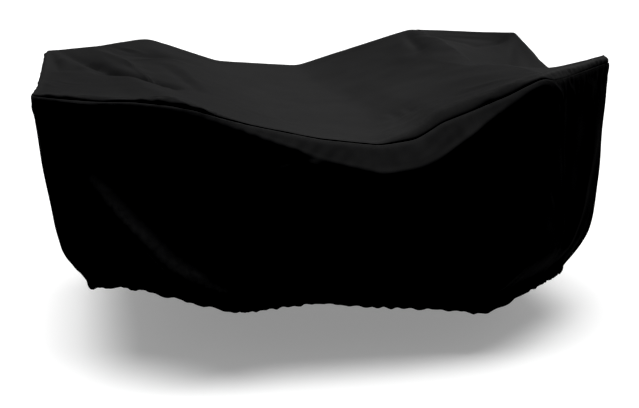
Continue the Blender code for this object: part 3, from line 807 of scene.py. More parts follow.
# station, width in stations, height
LIP_BUMPS = ((28.4, 0.5, 0.004), (1.1, 0.4, 0.005), (6.6, 0.35, 0.006), (7.5, 0.24, 0.008), (8.5, 0.22, 0.007),
             (9.3, 0.22, 0.006), (2.2, 0.5, 0.004), (60.0, 0.8, 0.008), (84.0, 0.8, 0.007), (110.0, 0.7, 0.005))
GATHERED_LIP = (32.5, 42.0)  # the stations over the front right ridge
GATHER_START = 0.5  # stations over which the gathers start
LIP_GATHER = dict(height=0.0028, wavelength=0.028, slant=0.8)
LIP_WEAR = 0.045  # the cloth is rubbed pale this far from its fold
GATHERED_WEAR = 0.6  # more of that where it is gathered


def bumps(rows, station):
    """The sum of soft bumps at their stations, round the loop."""
    total = np.zeros_like(station)
    for centre, width, height in rows:
        away = (station - centre + STATIONS / 2) % STATIONS - STATIONS / 2
        total += height * fade_out(away, width)
    return total


for (panel, number), lip in lips.items():
    down, drop = lip["down"], lip["down"][-1]
    share = LIP_SHARES[:, None]
    station = lip["stations"] % STATIONS
    along_loop = way_round(station)
    gathered = rise(station - GATHERED_LIP[0], GATHER_START) * rise(GATHERED_LIP[1] - station, GATHER_START)
    bulge = value_at(PADDING, station) * np.sin(math.pi * share**LOW_BULGE) ** 2
    tuck = SEAM_TUCK["depth"] * np.minimum(1, drop / SEAM_TUCK["full_from"])
    tuck = tuck * rise(share - SEAM_TUCK["after"], SEAM_TUCK["over"]) ** 2
    ribs = ripples(along_loop, LIP_GATHER["slant"] * down, LIP_GATHER["wavelength"], seed=33)
    gather = LIP_GATHER["height"] * gathered * ribs
    height = bulge * unevenly(along_loop, **BULGE_UNEVEN) - tuck
    height = height + (bumps(LIP_BUMPS, station) + gather) * np.sin(math.pi * share)
    places = lip["base"] + lip["normals"] * height[..., None]
    near = lip["depth"] * lip["radius"] * fall(down, lip["radius"]) ** 2
    places -= lip["halfway"] * near[..., None]
    at = tuple(np.array(lip["border"]).T)
    lip["places"] = places + (top_places[at] - places[0]) * (1 - share)[..., None] ** 2
    lip["worn"] = fall(down, LIP_WEAR) + GATHERED_WEAR * gathered
starts = [panel_columns[panel].start for panel in ("centre", "right")]
apart = [np.abs(top_places[:, start] - top_places[:, start - 1]).max() for start in starts]
apart += [np.abs(lips[a]["places"][:, -1] - lips[b]["places"][:, 0]).max() for a, b in MEETING]
print(f"the panels meet to within {1000 * max(apart):.3f} mm")

# %% [markdown]
# ## The skirt
# The skirt hangs from the seam under the lips. Its two panels go half round each and meet in vertical seams. It
# swells out below the seam, hangs down and is drawn in at the hem. Columns follow the stations of the edge, and
# rows run from close lines at the welt, through even ones, to close lines at the hem.

# %% The skirt's grid
WELT_LINES = (0.0, 0.0015, 0.003, 0.0050, 0.0065, 0.0080, 0.0100, 0.0140, 0.0200, 0.0270)
HEM_LINES = (0.0, 0.0020, 0.0055, 0.0100, 0.0150, 0.0200, 0.0220, 0.0250, 0.0310, 0.0370, 0.0440)
SKIRT_COLUMN, SKIRT_ROW = 0.0078, 0.0105
DENSE_ROUND, DENSE_DOWN = 12, 24  # places for each station and for each row of lines when a length is measured
SEAM_SHIFT = 0.9  # stations that the right seam starts nearer the front than its solid's
SEAM_SLANT = ((1.0, 0.0), (2.0, 0.1), (3.0, 2.2), (5.0, 3.0))  # level, and stations that it has moved back by there
SLANT_REACH = 5  # stations
SKIRT_SEAMS = station_of("left top seam, back"), station_of("skirt seam, right") - SEAM_SHIFT


def skirt_grid(first, last):
    """The smooth cloth between two stations, without folds, and where its rows and columns are."""
    dense = np.linspace(first, last, round(DENSE_ROUND * (last - first)) + 1)
    run = lengths_along(curve_at(LINES[0], dense, closed=True)[:, None])[:, 0]
    across = spread(run[-1:], STRIP_LINES, STRIP_LINES, SKIRT_COLUMN)[:, 0]
    stations = np.interp(across, run, dense)
    slant = np.interp(LEVELS[SEAM_ROW:], *zip(*SEAM_SLANT))
    near_seam = fade_out(stations - SKIRT_SEAMS[1], SLANT_REACH)
    line = [curve_at(level, stations + s * near_seam, closed=True) for level, s in zip(LINES[SEAM_ROW:], slant)]
    gaps = len(LEVELS) - 1 - SEAM_ROW
    line = curve_at(np.stack(line), np.linspace(0, gaps, DENSE_DOWN * gaps + 1))
    along = lengths_along(line)
    down = spread(along[-1], WELT_LINES, HEM_LINES, SKIRT_ROW)
    base = np.stack([read_at(down, along, line[..., axis]) for axis in range(3)], axis=-1)
    return dict(base=base, stations=stations, across=across, down=down, up=along[-1] - down)


skirts = {"front": skirt_grid(SKIRT_SEAMS[0] - STATIONS, SKIRT_SEAMS[1]), "back": skirt_grid(*SKIRT_SEAMS[::-1])}
for name, skirt in skirts.items():
    print(f"{name} skirt: {skirt['across'][-1]:.2f} m round,",
          f"{skirt['down'][-1].min():.2f} to {skirt['down'][-1].max():.2f} m deep")

# %% [markdown]
# The skirt is loose where the top is tight. Long pulls run from the ridges, where the cloth hangs, to the corners
# of the hem, where the elastic holds it, and the cloth falls in soft folds between them. On both sides of a seam it
# is three layers thick, and too stiff for ripples and gathers.

# %% The skirt's folds
# fold, from, to, width, height; a place is its distance round the edge and its height
SKIRT_FOLDS = (
    ("long pull across the front left ridge", (0.20, -0.085), (0.66, -0.500), 0.030, 0.022),
    ("end of the long pull", (0.430, -0.315), (0.700, -0.495), 0.028, 0.018),
    ("trough under the long pull", (0.17, -0.175), (0.55, -0.54), 0.040, -0.008),
    ("short pull at the left hem corner", (0.00, -0.33), (0.08, -0.46), 0.030, 0.010),
    ("hanging fold at the front", (0.93, -0.16), (0.90, -0.34), 0.035, 0.008),
    ("pull to the front right hem corner", (1.16, -0.24), (1.44, -0.50), 0.045, 0.010),
    ("pull under the right ridge", (2.06, -0.10), (1.86, -0.46), 0.045, 0.010),
    ("pull down from the right back corner", (2.92, -0.06), (3.26, -0.46), 0.045, 0.014),
    ("hanging fold at the back", (4.00, -0.10), (4.06, -0.40), 0.050, 0.010),
    ("pull down from the back left corner", (4.76, -0.06), (4.52, -0.44), 0.045, 0.012),
    ("pull across the left side", (5.26, -0.06), (5.62, -0.42), 0.050, 0.014),
)
FINE_SKIRT_FOLDS = (
    ("roll under the lip of the left ridge", (0.110, 0.166), (0.235, 0.157), 0.010, 0.007),
    ("swell of the long pull", (0.240, -0.125), (0.600, -0.475), 0.056, 0.014),
    ("step under the shoulder, left of it", (0.800, -0.030), (0.874, -0.018), 0.016, -0.011),
    ("step under the shoulder, right of it", (0.897, -0.030), (0.960, -0.050), 0.014, 0.011),
    ("fold left of the front's middle", (0.790, -0.075), (0.860, -0.160), 0.020, 0.006),
    ("fold at the front's middle", (0.902, -0.150), (0.894, -0.280), 0.020, 0.007),
    ("short fold right of the middle", (1.010, -0.330), (1.090, -0.285), 0.014, 0.006),
    ("wrinkle beside the right seam, one", (1.665, 0.134), (1.716, 0.040), 0.008, 0.005),
    ("wrinkle beside the right seam, two", (1.705, 0.130), (1.751, 0.066), 0.008, 0.005),
    ("wrinkle past the right seam", (1.800, 0.120), (1.850, 0.070), 0.010, 0.004),
    ("crease low beside the right seam", (1.640, -0.190), (1.690, -0.270), 0.018, 0.004),
    ("fold into the left front hem corner", (0.040, -0.300), (0.020, -0.470), 0.016, 0.006),
    ("fold into the front left hem corner", (0.560, -0.300), (0.585, -0.480), 0.018, 0.006),
    ("fold into the front right hem corner", (1.520, -0.330), (1.540, -0.540), 0.018, 0.006),
    ("fold into the right hem corner", (2.120, -0.350), (2.140, -0.560), 0.018, 0.006),
)
print(len(SKIRT_FOLDS), "main folds and", len(FINE_SKIRT_FOLDS), "fine ones on the skirt")

# %% The skirt's ripples, crumples and gathers
FOLDS_SHOWN = ((0.0, 0.06, 0.60, 0.72), (0.0, 1.0, 1.0, 0.2))  # distances below the seam, and shares of the folds
CALM = 0.030  # next to a seam the cloth is too stiff to gather
RIPPLE_START = 0.08  # from the seam and from the hem
SKIRT_RIPPLE = dict(height=0.0022, wavelength=0.22)
SHOULDER_WOBBLE = dict(height=0.0035, wavelength=0.13, depth=0.075, fall=1.6)
SHOULDER_CRUMPLE = dict(height=0.0016, wavelength=0.050, middle=0.050, reach=0.035)
GATHER = dict(height=0.0045, wavelength=0.024, reach=0.055)
GATHER_REACH = dict(share=0.6, wavelength=0.11)
AT_HEM, HEM_BAND = 0.35, 0.02  # the share of the gathers' height at the hem, and the height that adds 1 to it
WELT_PUCKER = dict(wavelength=0.03, middle=0.012, reach=0.016)
HEM_SCALLOP = dict(height=0.0035, wavelength=0.045, reach=0.05)


def loose_heights(skirt, places, loose, seed):
    """How far the skirt's cloth stands out by itself: folds, ripples, crumples and gathers."""
    across, down, up = skirt["across"], skirt["down"], skirt["up"]
    height = fold_heights(SKIRT_FOLDS, places, LOOP) * np.interp(down, *FOLDS_SHOWN)
    free = rise(down, RIPPLE_START) * rise(up, RIPPLE_START) * loose
    x, z = places[..., 0], places[..., 1]
    height += SKIRT_RIPPLE["height"] * free * ripples(x, z, SKIRT_RIPPLE["wavelength"], seed)
    height += fold_heights(FINE_SKIRT_FOLDS, places, LOOP)

    below_seam = down / SHOULDER_WOBBLE["depth"]
    wobble = np.where(below_seam < 1, below_seam**2, np.exp(-((below_seam - 1) * SHOULDER_WOBBLE["fall"])))
    waves = ripples(across, 0.0, SHOULDER_WOBBLE["wavelength"], seed + 4)
    height += SHOULDER_WOBBLE["height"] * loose * waves * wobble
    crumple = ripples(x, z, SHOULDER_CRUMPLE["wavelength"], seed + 6)
    crumple *= fade_out(down - SHOULDER_CRUMPLE["middle"], SHOULDER_CRUMPLE["reach"])
    height += SHOULDER_CRUMPLE["height"] * loose * crumple

    gathers = ripples(across, 0.0, GATHER["wavelength"], seed + 1)
    reach = GATHER["reach"] * unevenly(across, **GATHER_REACH, seed=seed + 2)
    height += GATHER["height"] * loose * gathers * np.exp(-up / reach) * np.clip(AT_HEM + up / HEM_BAND, 0, 1)
    return height


print("gathers reach about", 1000 * GATHER["reach"], "mm up from the hem")

# %% [markdown]
# What is sewn comes on top: the welt or the turned edge, the fold of the hem, the puckers along the welt, and the
# felled strip of each vertical seam. The skirt's first row is put on the lips' lower border, where it is sewn on.

# %% The skirt's sheets
WELT_START, HEM_START = 0.01, 0.005  # a vertical seam's relief grows over these distances from the skirt's ends
SEWN_ABOVE = 0.0006  # of the skirt's first row above the lips' lower border, so that no light comes through
HIGHLIGHT_CREST = 0.018  # height at which the painted highlight on the long pull is full


def joined_at(stations):
    """Places on the lips' lower border at these stations."""
    known = np.concatenate([lip["stations"] for lip in lips.values()])
    border = np.concatenate([lip["places"][-1] for lip in lips.values()])
    found = [np.interp(stations, known, border[:, axis], period=STATIONS) for axis in range(3)]
    return np.stack(found, axis=-1)


def sewn(skirt, seed):
    """Add a skirt's places and the painted highlight along its long pull."""
    base, across, down, up = skirt["base"], skirt["across"], skirt["down"], skirt["up"]
    places_round = np.broadcast_to(way_round(skirt["stations"]), down.shape)
    where = np.stack([places_round, base[..., 2]], axis=-1)
    loose = rise(np.minimum(across, across[-1] - across), CALM)
    height = loose_heights(skirt, where, loose, seed)
    height += profile(WELT, down) * value_at(WELT_SHARES, skirt["stations"]) + profile(HEM_FOLD, up)
    height += profile(TURNED, down) * value_at(TURNED_SHARES, skirt["stations"])
    pucker = SEAM_PUCKER["height"] * loose * ripples(across, 0.0, WELT_PUCKER["wavelength"], seed + 3)
    height += pucker * fade_out(down - WELT_PUCKER["middle"], WELT_PUCKER["reach"])
    height += profile(FELLED, across) * rise(down, WELT_START) * rise(up, HEM_START)
    places = base + normals_of(base) * height[..., None]
    scallop = HEM_SCALLOP["height"] * loose * ripples(across, 0.0, HEM_SCALLOP["wavelength"], seed + 5)
    places[..., 2] += scallop * np.exp(-up / HEM_SCALLOP["reach"])
    places[0] = joined_at(skirt["stations"]) + (0.0, 0.0, SEWN_ABOVE)
    skirt["places"] = places
    # a painted highlight along the crest of the long pull
    skirt["crest"] = rise(fold_heights(SKIRT_FOLDS[:2], where, LOOP), HIGHLIGHT_CREST)


for skirt, seed in zip(skirts.values(), (11, 21)):
    sewn(skirt, seed)
    print("rows and columns:", skirt["places"].shape[:2])

# %% [markdown]
# ## Cloth finish
# The cloth is a coated polyester weave. Near to, it shows plain weave at less than a millimetre, and a slight
# crinkle from being folded in its bag. Further off it is a flat black that goes grey where light grazes it. What
# faces up is painted a lighter grey, partly dust in patches and partly painted light, which is strongest in the low
# middle of the top. Weave and this mask are node groups, so that thread and cloth can share them.

# %% Helpers for node trees
def new_group(name, inputs, outputs):
    """An empty shader node group with these sockets, and its input and output nodes."""
    group = bpy.data.node_groups.new(name, "ShaderNodeTree")
    for socket, kind, value in inputs:
        item = group.interface.new_socket(name=socket, in_out="INPUT", socket_type=kind)
        if value is not None:
            item.default_value = value
    for socket, kind in outputs:
        group.interface.new_socket(name=socket, in_out="OUTPUT", socket_type=kind)
    return group, group.nodes.new("NodeGroupInput"), group.nodes.new("NodeGroupOutput")


def add(tree, kind, links=(), **values):
    """A node of this kind, with its properties and socket values set and its inputs linked."""
    node = tree.nodes.new(kind)
    for name, value in values.items():
        setattr(node, name, value)
    for socket, source in links:
        if hasattr(source, "links"):
            tree.links.new(source, node.inputs[socket])
        else:
            node.inputs[socket].default_value = source
    return node


def math_node(tree, operation, *operands):
    return add(tree, "ShaderNodeMath", tuple(enumerate(operands)), operation=operation).outputs[0]


FLOAT = "NodeSocketFloat"
print("helpers:", new_group.__name__, add.__name__, math_node.__name__)

# %% The weave
def woven_group():
    """Plain weave from a UV map in metres: its height, and how far a point lies between threads, where shade is
    painted.
    """
    group, given, result = new_group(
        "plain_weave", [("Thread", FLOAT, 0.0007), ("Crinkle", FLOAT, 0.02)], [("Height", FLOAT), ("Gap_shade", FLOAT)])
    uv = add(group, "ShaderNodeUVMap", uv_map="cloth").outputs["UV"]
    across = add(group, "ShaderNodeSeparateXYZ", [("Vector", uv)])
    waves = []
    for axis in ("X", "Y"):
        turns = math_node(group, "DIVIDE", across.outputs[axis], given.outputs["Thread"])
        waves.append(math_node(group, "SINE", math_node(group, "MULTIPLY", turns, math.pi)))
    over = math_node(group, "MULTIPLY", *waves)
    threads = math_node(group, "ABSOLUTE", over)
    slub = add(group, "ShaderNodeTexNoise", [("Vector", uv), ("Scale", 900.0), ("Detail", 2.0)])
    height = math_node(group, "ADD", threads, math_node(group, "MULTIPLY", slub.outputs["Fac"], 0.5))
    coordinates = add(group, "ShaderNodeTexCoord").outputs["Object"]
    size = math_node(group, "DIVIDE", 1.0, given.outputs["Crinkle"])
    crinkle = add(group, "ShaderNodeTexNoise", [("Vector", coordinates), ("Scale", size), ("Detail", 3.0),
                                                ("Roughness", 0.55), ("Distortion", 0.4)])
    total = math_node(group, "ADD", math_node(group, "MULTIPLY", height, 0.12), crinkle.outputs["Fac"])
    group.links.new(total, result.inputs["Height"])
    # the gaps between threads are painted with shade
    group.links.new(math_node(group, "SUBTRACT", 1.0, threads), result.inputs["Gap_shade"])
    return group


WEAVE = woven_group()
print(f"threads {1000 * WEAVE.interface.items_tree['Thread'].default_value:.1f} mm wide")

# %% Dust, wear and painted light
def wear_and_light_group():
    """Two masks: a grey on what faces up, partly dusty patches and partly painted light that is strongest in the low
    middle of the top; and pale fold edges with a painted highlight on the long pull, from the mesh.
    """
    group, given, result = new_group("dust_wear_and_painted_light", [("Patch", FLOAT, 0.25)], [("Dust_and_painted_light", FLOAT), ("Worn_and_highlight", FLOAT)])
    coordinates = add(group, "ShaderNodeTexCoord").outputs["Object"]
    # what faces up is painted lighter: partly dust, partly painted light from above
    facing = add(group, "ShaderNodeSeparateXYZ", [("Vector", add(group, "ShaderNodeNewGeometry").outputs["Normal"])])
    up = add(group, "ShaderNodeMapRange", [("Value", facing.outputs["Z"]), ("From Min", 0.0), ("From Max", 0.95)],
             interpolation_type="SMOOTHSTEP").outputs["Result"]
    size = math_node(group, "DIVIDE", 1.0, given.outputs["Patch"])
    patches = add(group, "ShaderNodeTexNoise", [("Vector", coordinates), ("Scale", size), ("Detail", 6.0),
                                                ("Roughness", 0.6)]).outputs["Fac"]
    patchy = add(group, "ShaderNodeMapRange", [("Value", patches), ("From Min", 0.3), ("From Max", 0.75)]).outputs[0]
    # the hollow attribute is painted light: it lightens the low, sagging middle of the top
    hollow = add(group, "ShaderNodeAttribute", attribute_name="hollow").outputs["Fac"]
    dust_and_light_share = math_node(group, "MULTIPLY_ADD", patchy, 0.35, math_node(group, "MULTIPLY", hollow, 0.65))
    group.links.new(math_node(group, "MULTIPLY", up, dust_and_light_share), result.inputs["Dust_and_painted_light"])
    # the worn attribute pales rubbed folds and adds the painted highlight of the long pull
    worn = add(group, "ShaderNodeAttribute", attribute_name="worn").outputs["Fac"]
    rubbed_and_highlight = add(group, "ShaderNodeTexNoise", [("Vector", coordinates), ("Scale", 60.0), ("Detail", 4.0)]).outputs[0]
    group.links.new(math_node(group, "MULTIPLY", worn, rubbed_and_highlight), result.inputs["Worn_and_highlight"])
    return group


WEAR_AND_LIGHT = wear_and_light_group()
print("groups:", WEAVE.name, "and", WEAR_AND_LIGHT.name)

# %% [markdown]
# The cloth's own material mixes its colours with those masks: the black of the threads; a grey that is dust in
# patches and painted light on what faces up, most in the low middle of the top; a paler grey where a fold is rubbed,
# which on the long pull is a painted highlight; and a deeper black, which is painted shade in the gaps of the weave.
# Sheen is the light that loose fibres catch at grazing angles, so it is set on the shader itself.

# %% The cloth's material
def mixed(tree, share, first, second):
    """A colour between two others. Each is a socket or three numbers."""
    mix = tree.nodes.new("ShaderNodeMix")
    mix.data_type = "RGBA"
    tree.links.new(share, mix.inputs[0])
    for socket, colour in ((mix.inputs[6], first), (mix.inputs[7], second)):
        if hasattr(colour, "links"):
            tree.links.new(colour, socket)
        else:
            socket.default_value = (*colour, 1.0)
    return mix.outputs[2]


# the dust colour is partly painted light, the rubbed one partly a painted highlight, and the gap one painted shade
CLOTH_LOOK = dict(black=(0.0060, 0.0060, 0.0062), gap_shade=(0.0040, 0.0040, 0.0042), dust_and_light_grey=(0.0176, 0.0176, 0.0177),
                  rubbed_and_highlight=(0.031, 0.031, 0.031))
CLOTH_SHADER = {"Sheen Weight": 0.0045, "Sheen Roughness": 0.5, "Specular IOR Level": 0.03}
SHOWN = dict(Gap_shade=0.6, Dust_and_painted_light=0.85, Worn_and_highlight=0.35)  # the most of each mask that shows


def black_cloth():
    material, shader = new_material("black_woven_cloth", CLOTH_SHADER)
    tree = material.node_tree
    weave, wear_and_light = (add(tree, "ShaderNodeGroup", node_tree=group) for group in (WEAVE, WEAR_AND_LIGHT))
    colour = CLOTH_LOOK["black"]
    for group, mask, other in ((weave, "Gap_shade", "gap_shade"), (wear_and_light, "Dust_and_painted_light", "dust_and_light_grey"), (wear_and_light, "Worn_and_highlight", "rubbed_and_highlight")):
        share = math_node(tree, "MULTIPLY", group.outputs[mask], SHOWN[mask])
        colour = mixed(tree, share, colour, CLOTH_LOOK[other])
    tree.links.new(colour, shader.inputs["Base Color"])
    rough = math_node(tree, "MULTIPLY_ADD", wear_and_light.outputs["Dust_and_painted_light"], 0.15, 0.72)
    tree.links.new(rough, shader.inputs["Roughness"])
    threads = weave.outputs["Height"]
    bump = add(tree, "ShaderNodeBump", [("Height", threads), ("Strength", 0.35), ("Distance", 0.0015)])
    tree.links.new(bump.outputs["Normal"], shader.inputs["Normal"])
    return material


BLACK = black_cloth()
print("the cloth's nodes:", len(BLACK.node_tree.nodes))

# %% [markdown]
# The thread is polyester too, and a little shinier than the cloth. It is dyed black, so only its twist shows, with
# half of the cloth's grey of dust and painted light.

# %% The thread's material
THREAD_DARK, THREAD_LIGHT = (0.0095, 0.0095, 0.0100), (0.0190, 0.0190, 0.0195)
THREAD_SHADER = {"Roughness": 0.6, "Specular IOR Level": 0.12}


def sewing_thread():
    material, shader = new_material("sewing_thread", THREAD_SHADER)
    tree = material.node_tree
    wear_and_light = add(tree, "ShaderNodeGroup", node_tree=WEAR_AND_LIGHT)
    coordinates = add(tree, "ShaderNodeTexCoord").outputs["Object"]
    twist = add(tree, "ShaderNodeTexNoise", [("Vector", coordinates), ("Scale", 1200.0), ("Detail", 2.0)])
    colour = mixed(tree, twist.outputs["Fac"], THREAD_DARK, THREAD_LIGHT)
    # half of the cloth's dust and painted light goes on the thread
    colour = mixed(tree, math_node(tree, "MULTIPLY", wear_and_light.outputs["Dust_and_painted_light"], 0.5), colour, CLOTH_LOOK["dust_and_light_grey"])
    tree.links.new(colour, shader.inputs["Base Color"])
    bump = add(tree, "ShaderNodeBump", [("Height", twist.outputs["Fac"]), ("Strength", 0.3), ("Distance", 0.0003)])
    tree.links.new(bump.outputs["Normal"], shader.inputs["Normal"])
    return material


THREAD = sewing_thread()
print("materials:", BLACK.name, "and", THREAD.name)

# %% [markdown]
# ## From grids to pieces
# Each panel becomes one mesh. Points that two grids share, such as a fold between the top and its lip, are merged,
# so the panel is one sheet. Its UV map is in metres along and across the cloth, which keeps the weave even. The
# sheet then gets its thickness inwards, so that its outside stays where the solid's is.

# %% Faces, flat places and borders
def grid_faces(count_rows, count_columns, first):
    index = first + np.arange(count_rows * count_columns).reshape(count_rows, count_columns)
    quads = np.stack([index[:-1, :-1], index[1:, :-1], index[1:, 1:], index[:-1, 1:]], axis=-1)
    return quads.reshape(-1, 4)


def sharp_borders(mesh):
    """Keep a sheet's thin rim from bending the shading of its face."""
    sharp = mesh.attributes.get("sharp_edge") or mesh.attributes.new("sharp_edge", "BOOLEAN", "EDGE")
    already = np.zeros(len(mesh.edges), bool)
    sharp.data.foreach_get("value", already)
    used = np.zeros(len(mesh.loops), np.int32)
    mesh.loops.foreach_get("edge_index", used)
    sharp.data.foreach_set("value", already | (np.bincount(used, minlength=len(already)) == 1))


def flat_places(grid):
    """Distances along the rows and down the columns of a grid, in metres."""
    down = lengths_along(grid)
    across = lengths_along(grid[len(grid) // 2][:, None])[:, 0]
    return np.stack([np.broadcast_to(across, down.shape), down], axis=-1)


print("a grid of 2 by 3 points has the faces", grid_faces(2, 3, 0).tolist())

# %% A sheet from its grids
THICKNESS = 0.0012
PAINTED_LIGHT_HEIGHTS = (0.03, 0.135)  # painted light lightens the top between these heights, most at the lower one
SKIRT_TOP = -0.1  # below this there is no hollow
SHARP_FROM = math.radians(48)
MERGE_GRID = 1e6  # points that are the same to a millionth of a metre are merged


def cloth_piece(name, grids, worn):
    """A sheet with thickness from grids of places, with a value at each point for pale rubbing and a painted
    highlight.
    """
    points = np.concatenate([grid.reshape(-1, 3) for grid in grids])
    uv = np.concatenate([flat_places(grid).reshape(-1, 2) for grid in grids])
    worn = np.concatenate([part.reshape(-1) for part in worn])
    starts = np.cumsum([0] + [grid.shape[0] * grid.shape[1] for grid in grids])
    faces = np.concatenate([grid_faces(*grid.shape[:2], start) for grid, start in zip(grids, starts)])
    on_grid = np.round(points * MERGE_GRID).astype(int)
    _, kept, merged = np.unique(on_grid, axis=0, return_index=True, return_inverse=True)
    merged = merged.reshape(-1)
    corners = merged[faces]
    whole = np.array([len(set(face)) == 4 for face in corners])
    faces, corners = faces[whole], corners[whole]
    mesh = bpy.data.meshes.new(name)
    mesh.from_pydata(points[kept].tolist(), [], corners.tolist())
    mesh.uv_layers.new(name="cloth").data.foreach_set("uv", uv[faces.reshape(-1)].astype(np.float32).reshape(-1))
    # painted light: the lower the top lies, the lighter its colour
    hollow = rise(PAINTED_LIGHT_HEIGHTS[1] - points[kept, 2], PAINTED_LIGHT_HEIGHTS[1] - PAINTED_LIGHT_HEIGHTS[0]) * (points[kept, 2] > SKIRT_TOP)
    for attribute, values in (("worn", worn[kept]), ("hollow", hollow)):
        mesh.attributes.new(attribute, "FLOAT", "POINT").data.foreach_set("value", values.astype(np.float32))
    mesh.materials.append(BLACK)
    piece = in_scene(name, mesh)
    wall = piece.modifiers.new("thickness", "SOLIDIFY")
    wall.thickness, wall.offset = THICKNESS, -1.0
    mesh.shade_smooth()
    mesh.set_sharp_from_angle(angle=SHARP_FROM)
    sharp_borders(mesh)
    return piece


print("a sheet is", 1000 * THICKNESS, "mm thick")

# %% [markdown]
# The black coating is rubbed to a grey where the cloth is creased again and again: along the folds at the edge, on
# the two edges of each felled strip, at the skirt's upper edge and at the hem. The same grey on the crest of the
# long pull is a painted highlight. Each point of a sheet has a value for both, which the material reads as an
# attribute.

# %% The five sheets
EDGE_WEAR, STRIP_WEAR = 0.03, 0.0010  # distances over which it fades, from a fold and from a strip's edge
WELT_WEAR, HEM_WEAR = 0.02, 0.03  # the same on the skirt
BESIDE = len(ROLL_LINES) + 4  # columns at the left and the right edge that its wear may reach

pieces = {}
edge_wear = fall(np.minimum(from_back, from_front), EDGE_WEAR)
for side, away in ((slice(None, BESIDE), from_first), (slice(-BESIDE, None), from_last)):
    edge_wear[:, side] = np.maximum(edge_wear[:, side], fall(away[:, side], EDGE_WEAR))
seam_wear = np.zeros_like(edge_wear)
for panel, away in (("left", from_last), ("right", from_first)):
    part = panel_columns[panel]
    seam_wear[:, part] = sum(fade_out(away[:, part] - line, STRIP_WEAR) for line in RUBBED_LINES)
for panel in PANELS:
    own = [lip for (of_panel, _), lip in lips.items() if of_panel == panel]
    grids = [top_places[:, panel_columns[panel]]] + [lip["places"] for lip in own]
    worn = [(edge_wear + seam_wear)[:, panel_columns[panel]]] + [lip["worn"] for lip in own]
    pieces[panel] = cloth_piece(f"{panel}_top_cloth", grids, worn)
for name, skirt in skirts.items():
    # rubbing at the welt and the hem, and the painted highlight of the long pull
    wear_and_highlight = fall(skirt["down"], WELT_WEAR) + fall(skirt["up"], HEM_WEAR) + skirt["crest"]
    pieces[f"{name} skirt"] = cloth_piece(f"{name}_skirt_cloth", [skirt["places"]], [wear_and_highlight])
for piece in pieces.values():
    print(piece.name, len(piece.data.polygons), "faces in one layer")

# %% [markdown]
# ## Stitches
# On the real cover a machine locks two threads through the cloth every 5 mm or so, and each stitch shows as a short
# raised lens of thread in a shallow dent. Rows like this repeat one shape along a path, so Geometry Nodes lay them:
# the path is cut into even steps, and each step gets one small rounded body that is turned along the row and out
# of the cloth. No two are quite the same size, from a fixed seed.

# %% Nodes for a row of stitches
STITCHES = dict(Pitch=0.0055, Length=0.0043, Width=0.0010, Unevenness=0.12, Seed=4)


def stitch_rows_group():
    group = bpy.data.node_groups.new("stitch_rows", "GeometryNodeTree")
    group.interface.new_socket(name="Geometry", in_out="INPUT", socket_type="NodeSocketGeometry")
    group.interface.new_socket(name="Geometry", in_out="OUTPUT", socket_type="NodeSocketGeometry")
    for name, value in STITCHES.items():
        kind = "NodeSocketInt" if name == "Seed" else FLOAT
        group.interface.new_socket(name=name, in_out="INPUT", socket_type=kind).default_value = value
    group.interface.new_socket(name="Thread", in_out="INPUT", socket_type="NodeSocketMaterial")
    given, result = group.nodes.new("NodeGroupInput").outputs, group.nodes.new("NodeGroupOutput")

    curve = add(group, "GeometryNodeMeshToCurve", [("Mesh", given["Geometry"])]).outputs["Curve"]
    steps = add(group, "GeometryNodeResampleCurve", [("Curve", curve), ("Length", given["Pitch"])], mode="LENGTH")
    body = add(group, "GeometryNodeMeshIcoSphere", [("Radius", 0.5), ("Subdivisions", 1)]).outputs["Mesh"]
    smooth = add(group, "GeometryNodeSetShadeSmooth", [("Geometry", body)]).outputs["Geometry"]
    tangent = add(group, "GeometryNodeInputTangent").outputs["Tangent"]
    facing = add(group, "GeometryNodeInputNamedAttribute", [("Name", "facing")], data_type="FLOAT_VECTOR")
    along = add(group, "FunctionNodeAlignRotationToVector", [("Vector", tangent)], axis="X").outputs["Rotation"]
    turned = add(group, "FunctionNodeAlignRotationToVector",
                 [("Rotation", along), ("Vector", facing.outputs["Attribute"])], axis="Z", pivot_axis="X")
    least = math_node(group, "SUBTRACT", 1.0, given["Unevenness"])
    most = math_node(group, "ADD", 1.0, given["Unevenness"])
    uneven = add(group, "FunctionNodeRandomValue",
                 [("Min", least), ("Max", most), ("Seed", given["Seed"])], data_type="FLOAT").outputs["Value"]
    length = math_node(group, "MULTIPLY", given["Length"], uneven)
    size = add(group, "ShaderNodeCombineXYZ", [("X", length), ("Y", given["Width"]), ("Z", given["Width"])])
    laid = add(group, "GeometryNodeInstanceOnPoints", [
        ("Points", steps.outputs["Curve"]), ("Instance", smooth), ("Rotation", turned.outputs["Rotation"]),
        ("Scale", size.outputs["Vector"])])
    real = add(group, "GeometryNodeRealizeInstances", [("Geometry", laid.outputs["Instances"])]).outputs["Geometry"]
    done = add(group, "GeometryNodeSetMaterial", [("Geometry", real), ("Material", given["Thread"])])
    group.links.new(done.outputs["Geometry"], result.inputs["Geometry"])
    return group


STITCH_NODES = stitch_rows_group()
print("inputs:", [item.name for item in STITCH_NODES.interface.items_tree if item.in_out == "INPUT"])

# %% [markdown]
# The paths come from the sheets' own grids, which already have a line at each row's distance from its seam. A path
# carries the cloth's normals as an attribute, so that each stitch knows which way is out.

# %% The rows of stitches
SUNK = 0.0001  # of a stitch's middle below the cloth's face
TRIM = 2  # rows at an end that stay clear of stitches


def grid_line(places, line):
    """A row or column of a grid, and the cloth's normals along it."""
    return places[line], normals_of(places)[line]


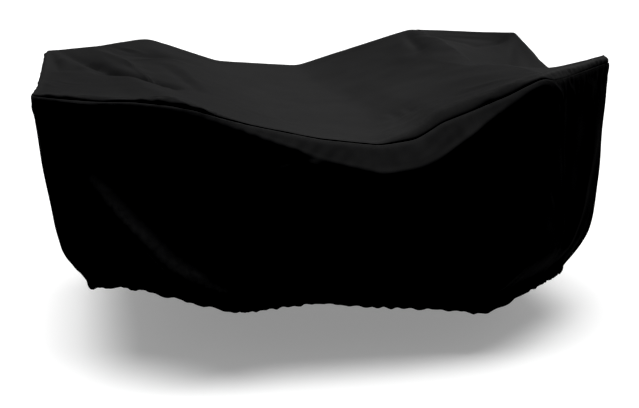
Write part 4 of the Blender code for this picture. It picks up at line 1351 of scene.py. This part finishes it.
def stitched(name, lines):
    """One mesh of stitches along lines, each given as places and normals."""
    points = np.concatenate([places - normals * SUNK for places, normals in lines])
    facing = np.concatenate([normals for _, normals in lines]).astype(np.float32)
    ends = np.cumsum([len(places) for places, _ in lines])
    edges = [(i, i + 1) for i in range(len(points) - 1) if i + 1 not in ends]
    path = bpy.data.meshes.new(name + "_path")
    path.from_pydata(points.tolist(), edges, [])
    path.attributes.new("facing", "FLOAT_VECTOR", "POINT").data.foreach_set("vector", facing.reshape(-1))
    piece = in_scene(name, path)
    nodes = piece.modifiers.new("stitches", "NODES")
    nodes.node_group = STITCH_NODES
    values = {**STITCHES, "Thread": THREAD}
    for item in STITCH_NODES.interface.items_tree:
        if item.in_out == "INPUT" and item.name in values:
            nodes[item.identifier] = values[item.name]
    graph = bpy.context.evaluated_depsgraph_get()
    plain = bpy.data.meshes.new_from_object(piece.evaluated_get(graph))
    piece.modifiers.remove(nodes)
    piece.data = plain
    plain.name = name
    bpy.data.meshes.remove(path)
    return piece


top_lines = []
for panel in ("left", "right"):
    part = panel_columns[panel]
    for distance in STITCH_ROWS:
        index = STRIP_LINES.index(distance)
        column = part.stop - 1 - index if panel == "left" else part.start + index
        places, normals = grid_line(top_places, (slice(None), column))
        lip = lips[panel, 0]
        ends = [lip["border"].index((row, column)) for row in (0, last_row)]
        back, front = (grid_line(lip["places"], (slice(None), end)) for end in ends)
        runs = zip(back, (places, normals), front)
        top_lines.append([np.concatenate([b[-1 - TRIM : 0 : -1], t, f[1:-TRIM]]) for b, t, f in runs])
welt_row, hem_row = WELT_LINES.index(WELT_STITCHES), -1 - HEM_LINES.index(HEM_STITCHES)
seam_columns = [(slice(TRIM, -TRIM), STRIP_LINES.index(distance)) for distance in STITCH_ROWS]
sides = [skirt["places"] for skirt in skirts.values()]
stitch_lines = {
    "top_seam_stitches": top_lines,
    "edge_stitches": [grid_line(side, welt_row) for side in sides],
    "hem_stitches": [grid_line(side, hem_row) for side in sides],
    "skirt_seam_stitches": [grid_line(side, column) for side in sides for column in seam_columns],
}
stitches = [stitched(name, lines) for name, lines in stitch_lines.items()]
for piece in stitches:
    print(piece.name, len(piece.data.polygons), "faces")

# %% [markdown]
# ## What each piece stands for
# Each sheet takes the place of its solid and moves with the cover's only body.

NODES = {"left": "top_left", "centre": "top_centre", "right": "top_right",
         "front skirt": "skirt_front", "back skirt": "skirt_back"}
for panel, piece in pieces.items():
    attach(piece, "root")
    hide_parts(NODES[panel])

for piece in stitches:
    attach(piece, "root")
print(len(pieces), "sheets and", len(stitches), "pieces of stitches ride on the cover's body")

# %% Bring the scene up to date
bpy.context.view_layer.update()
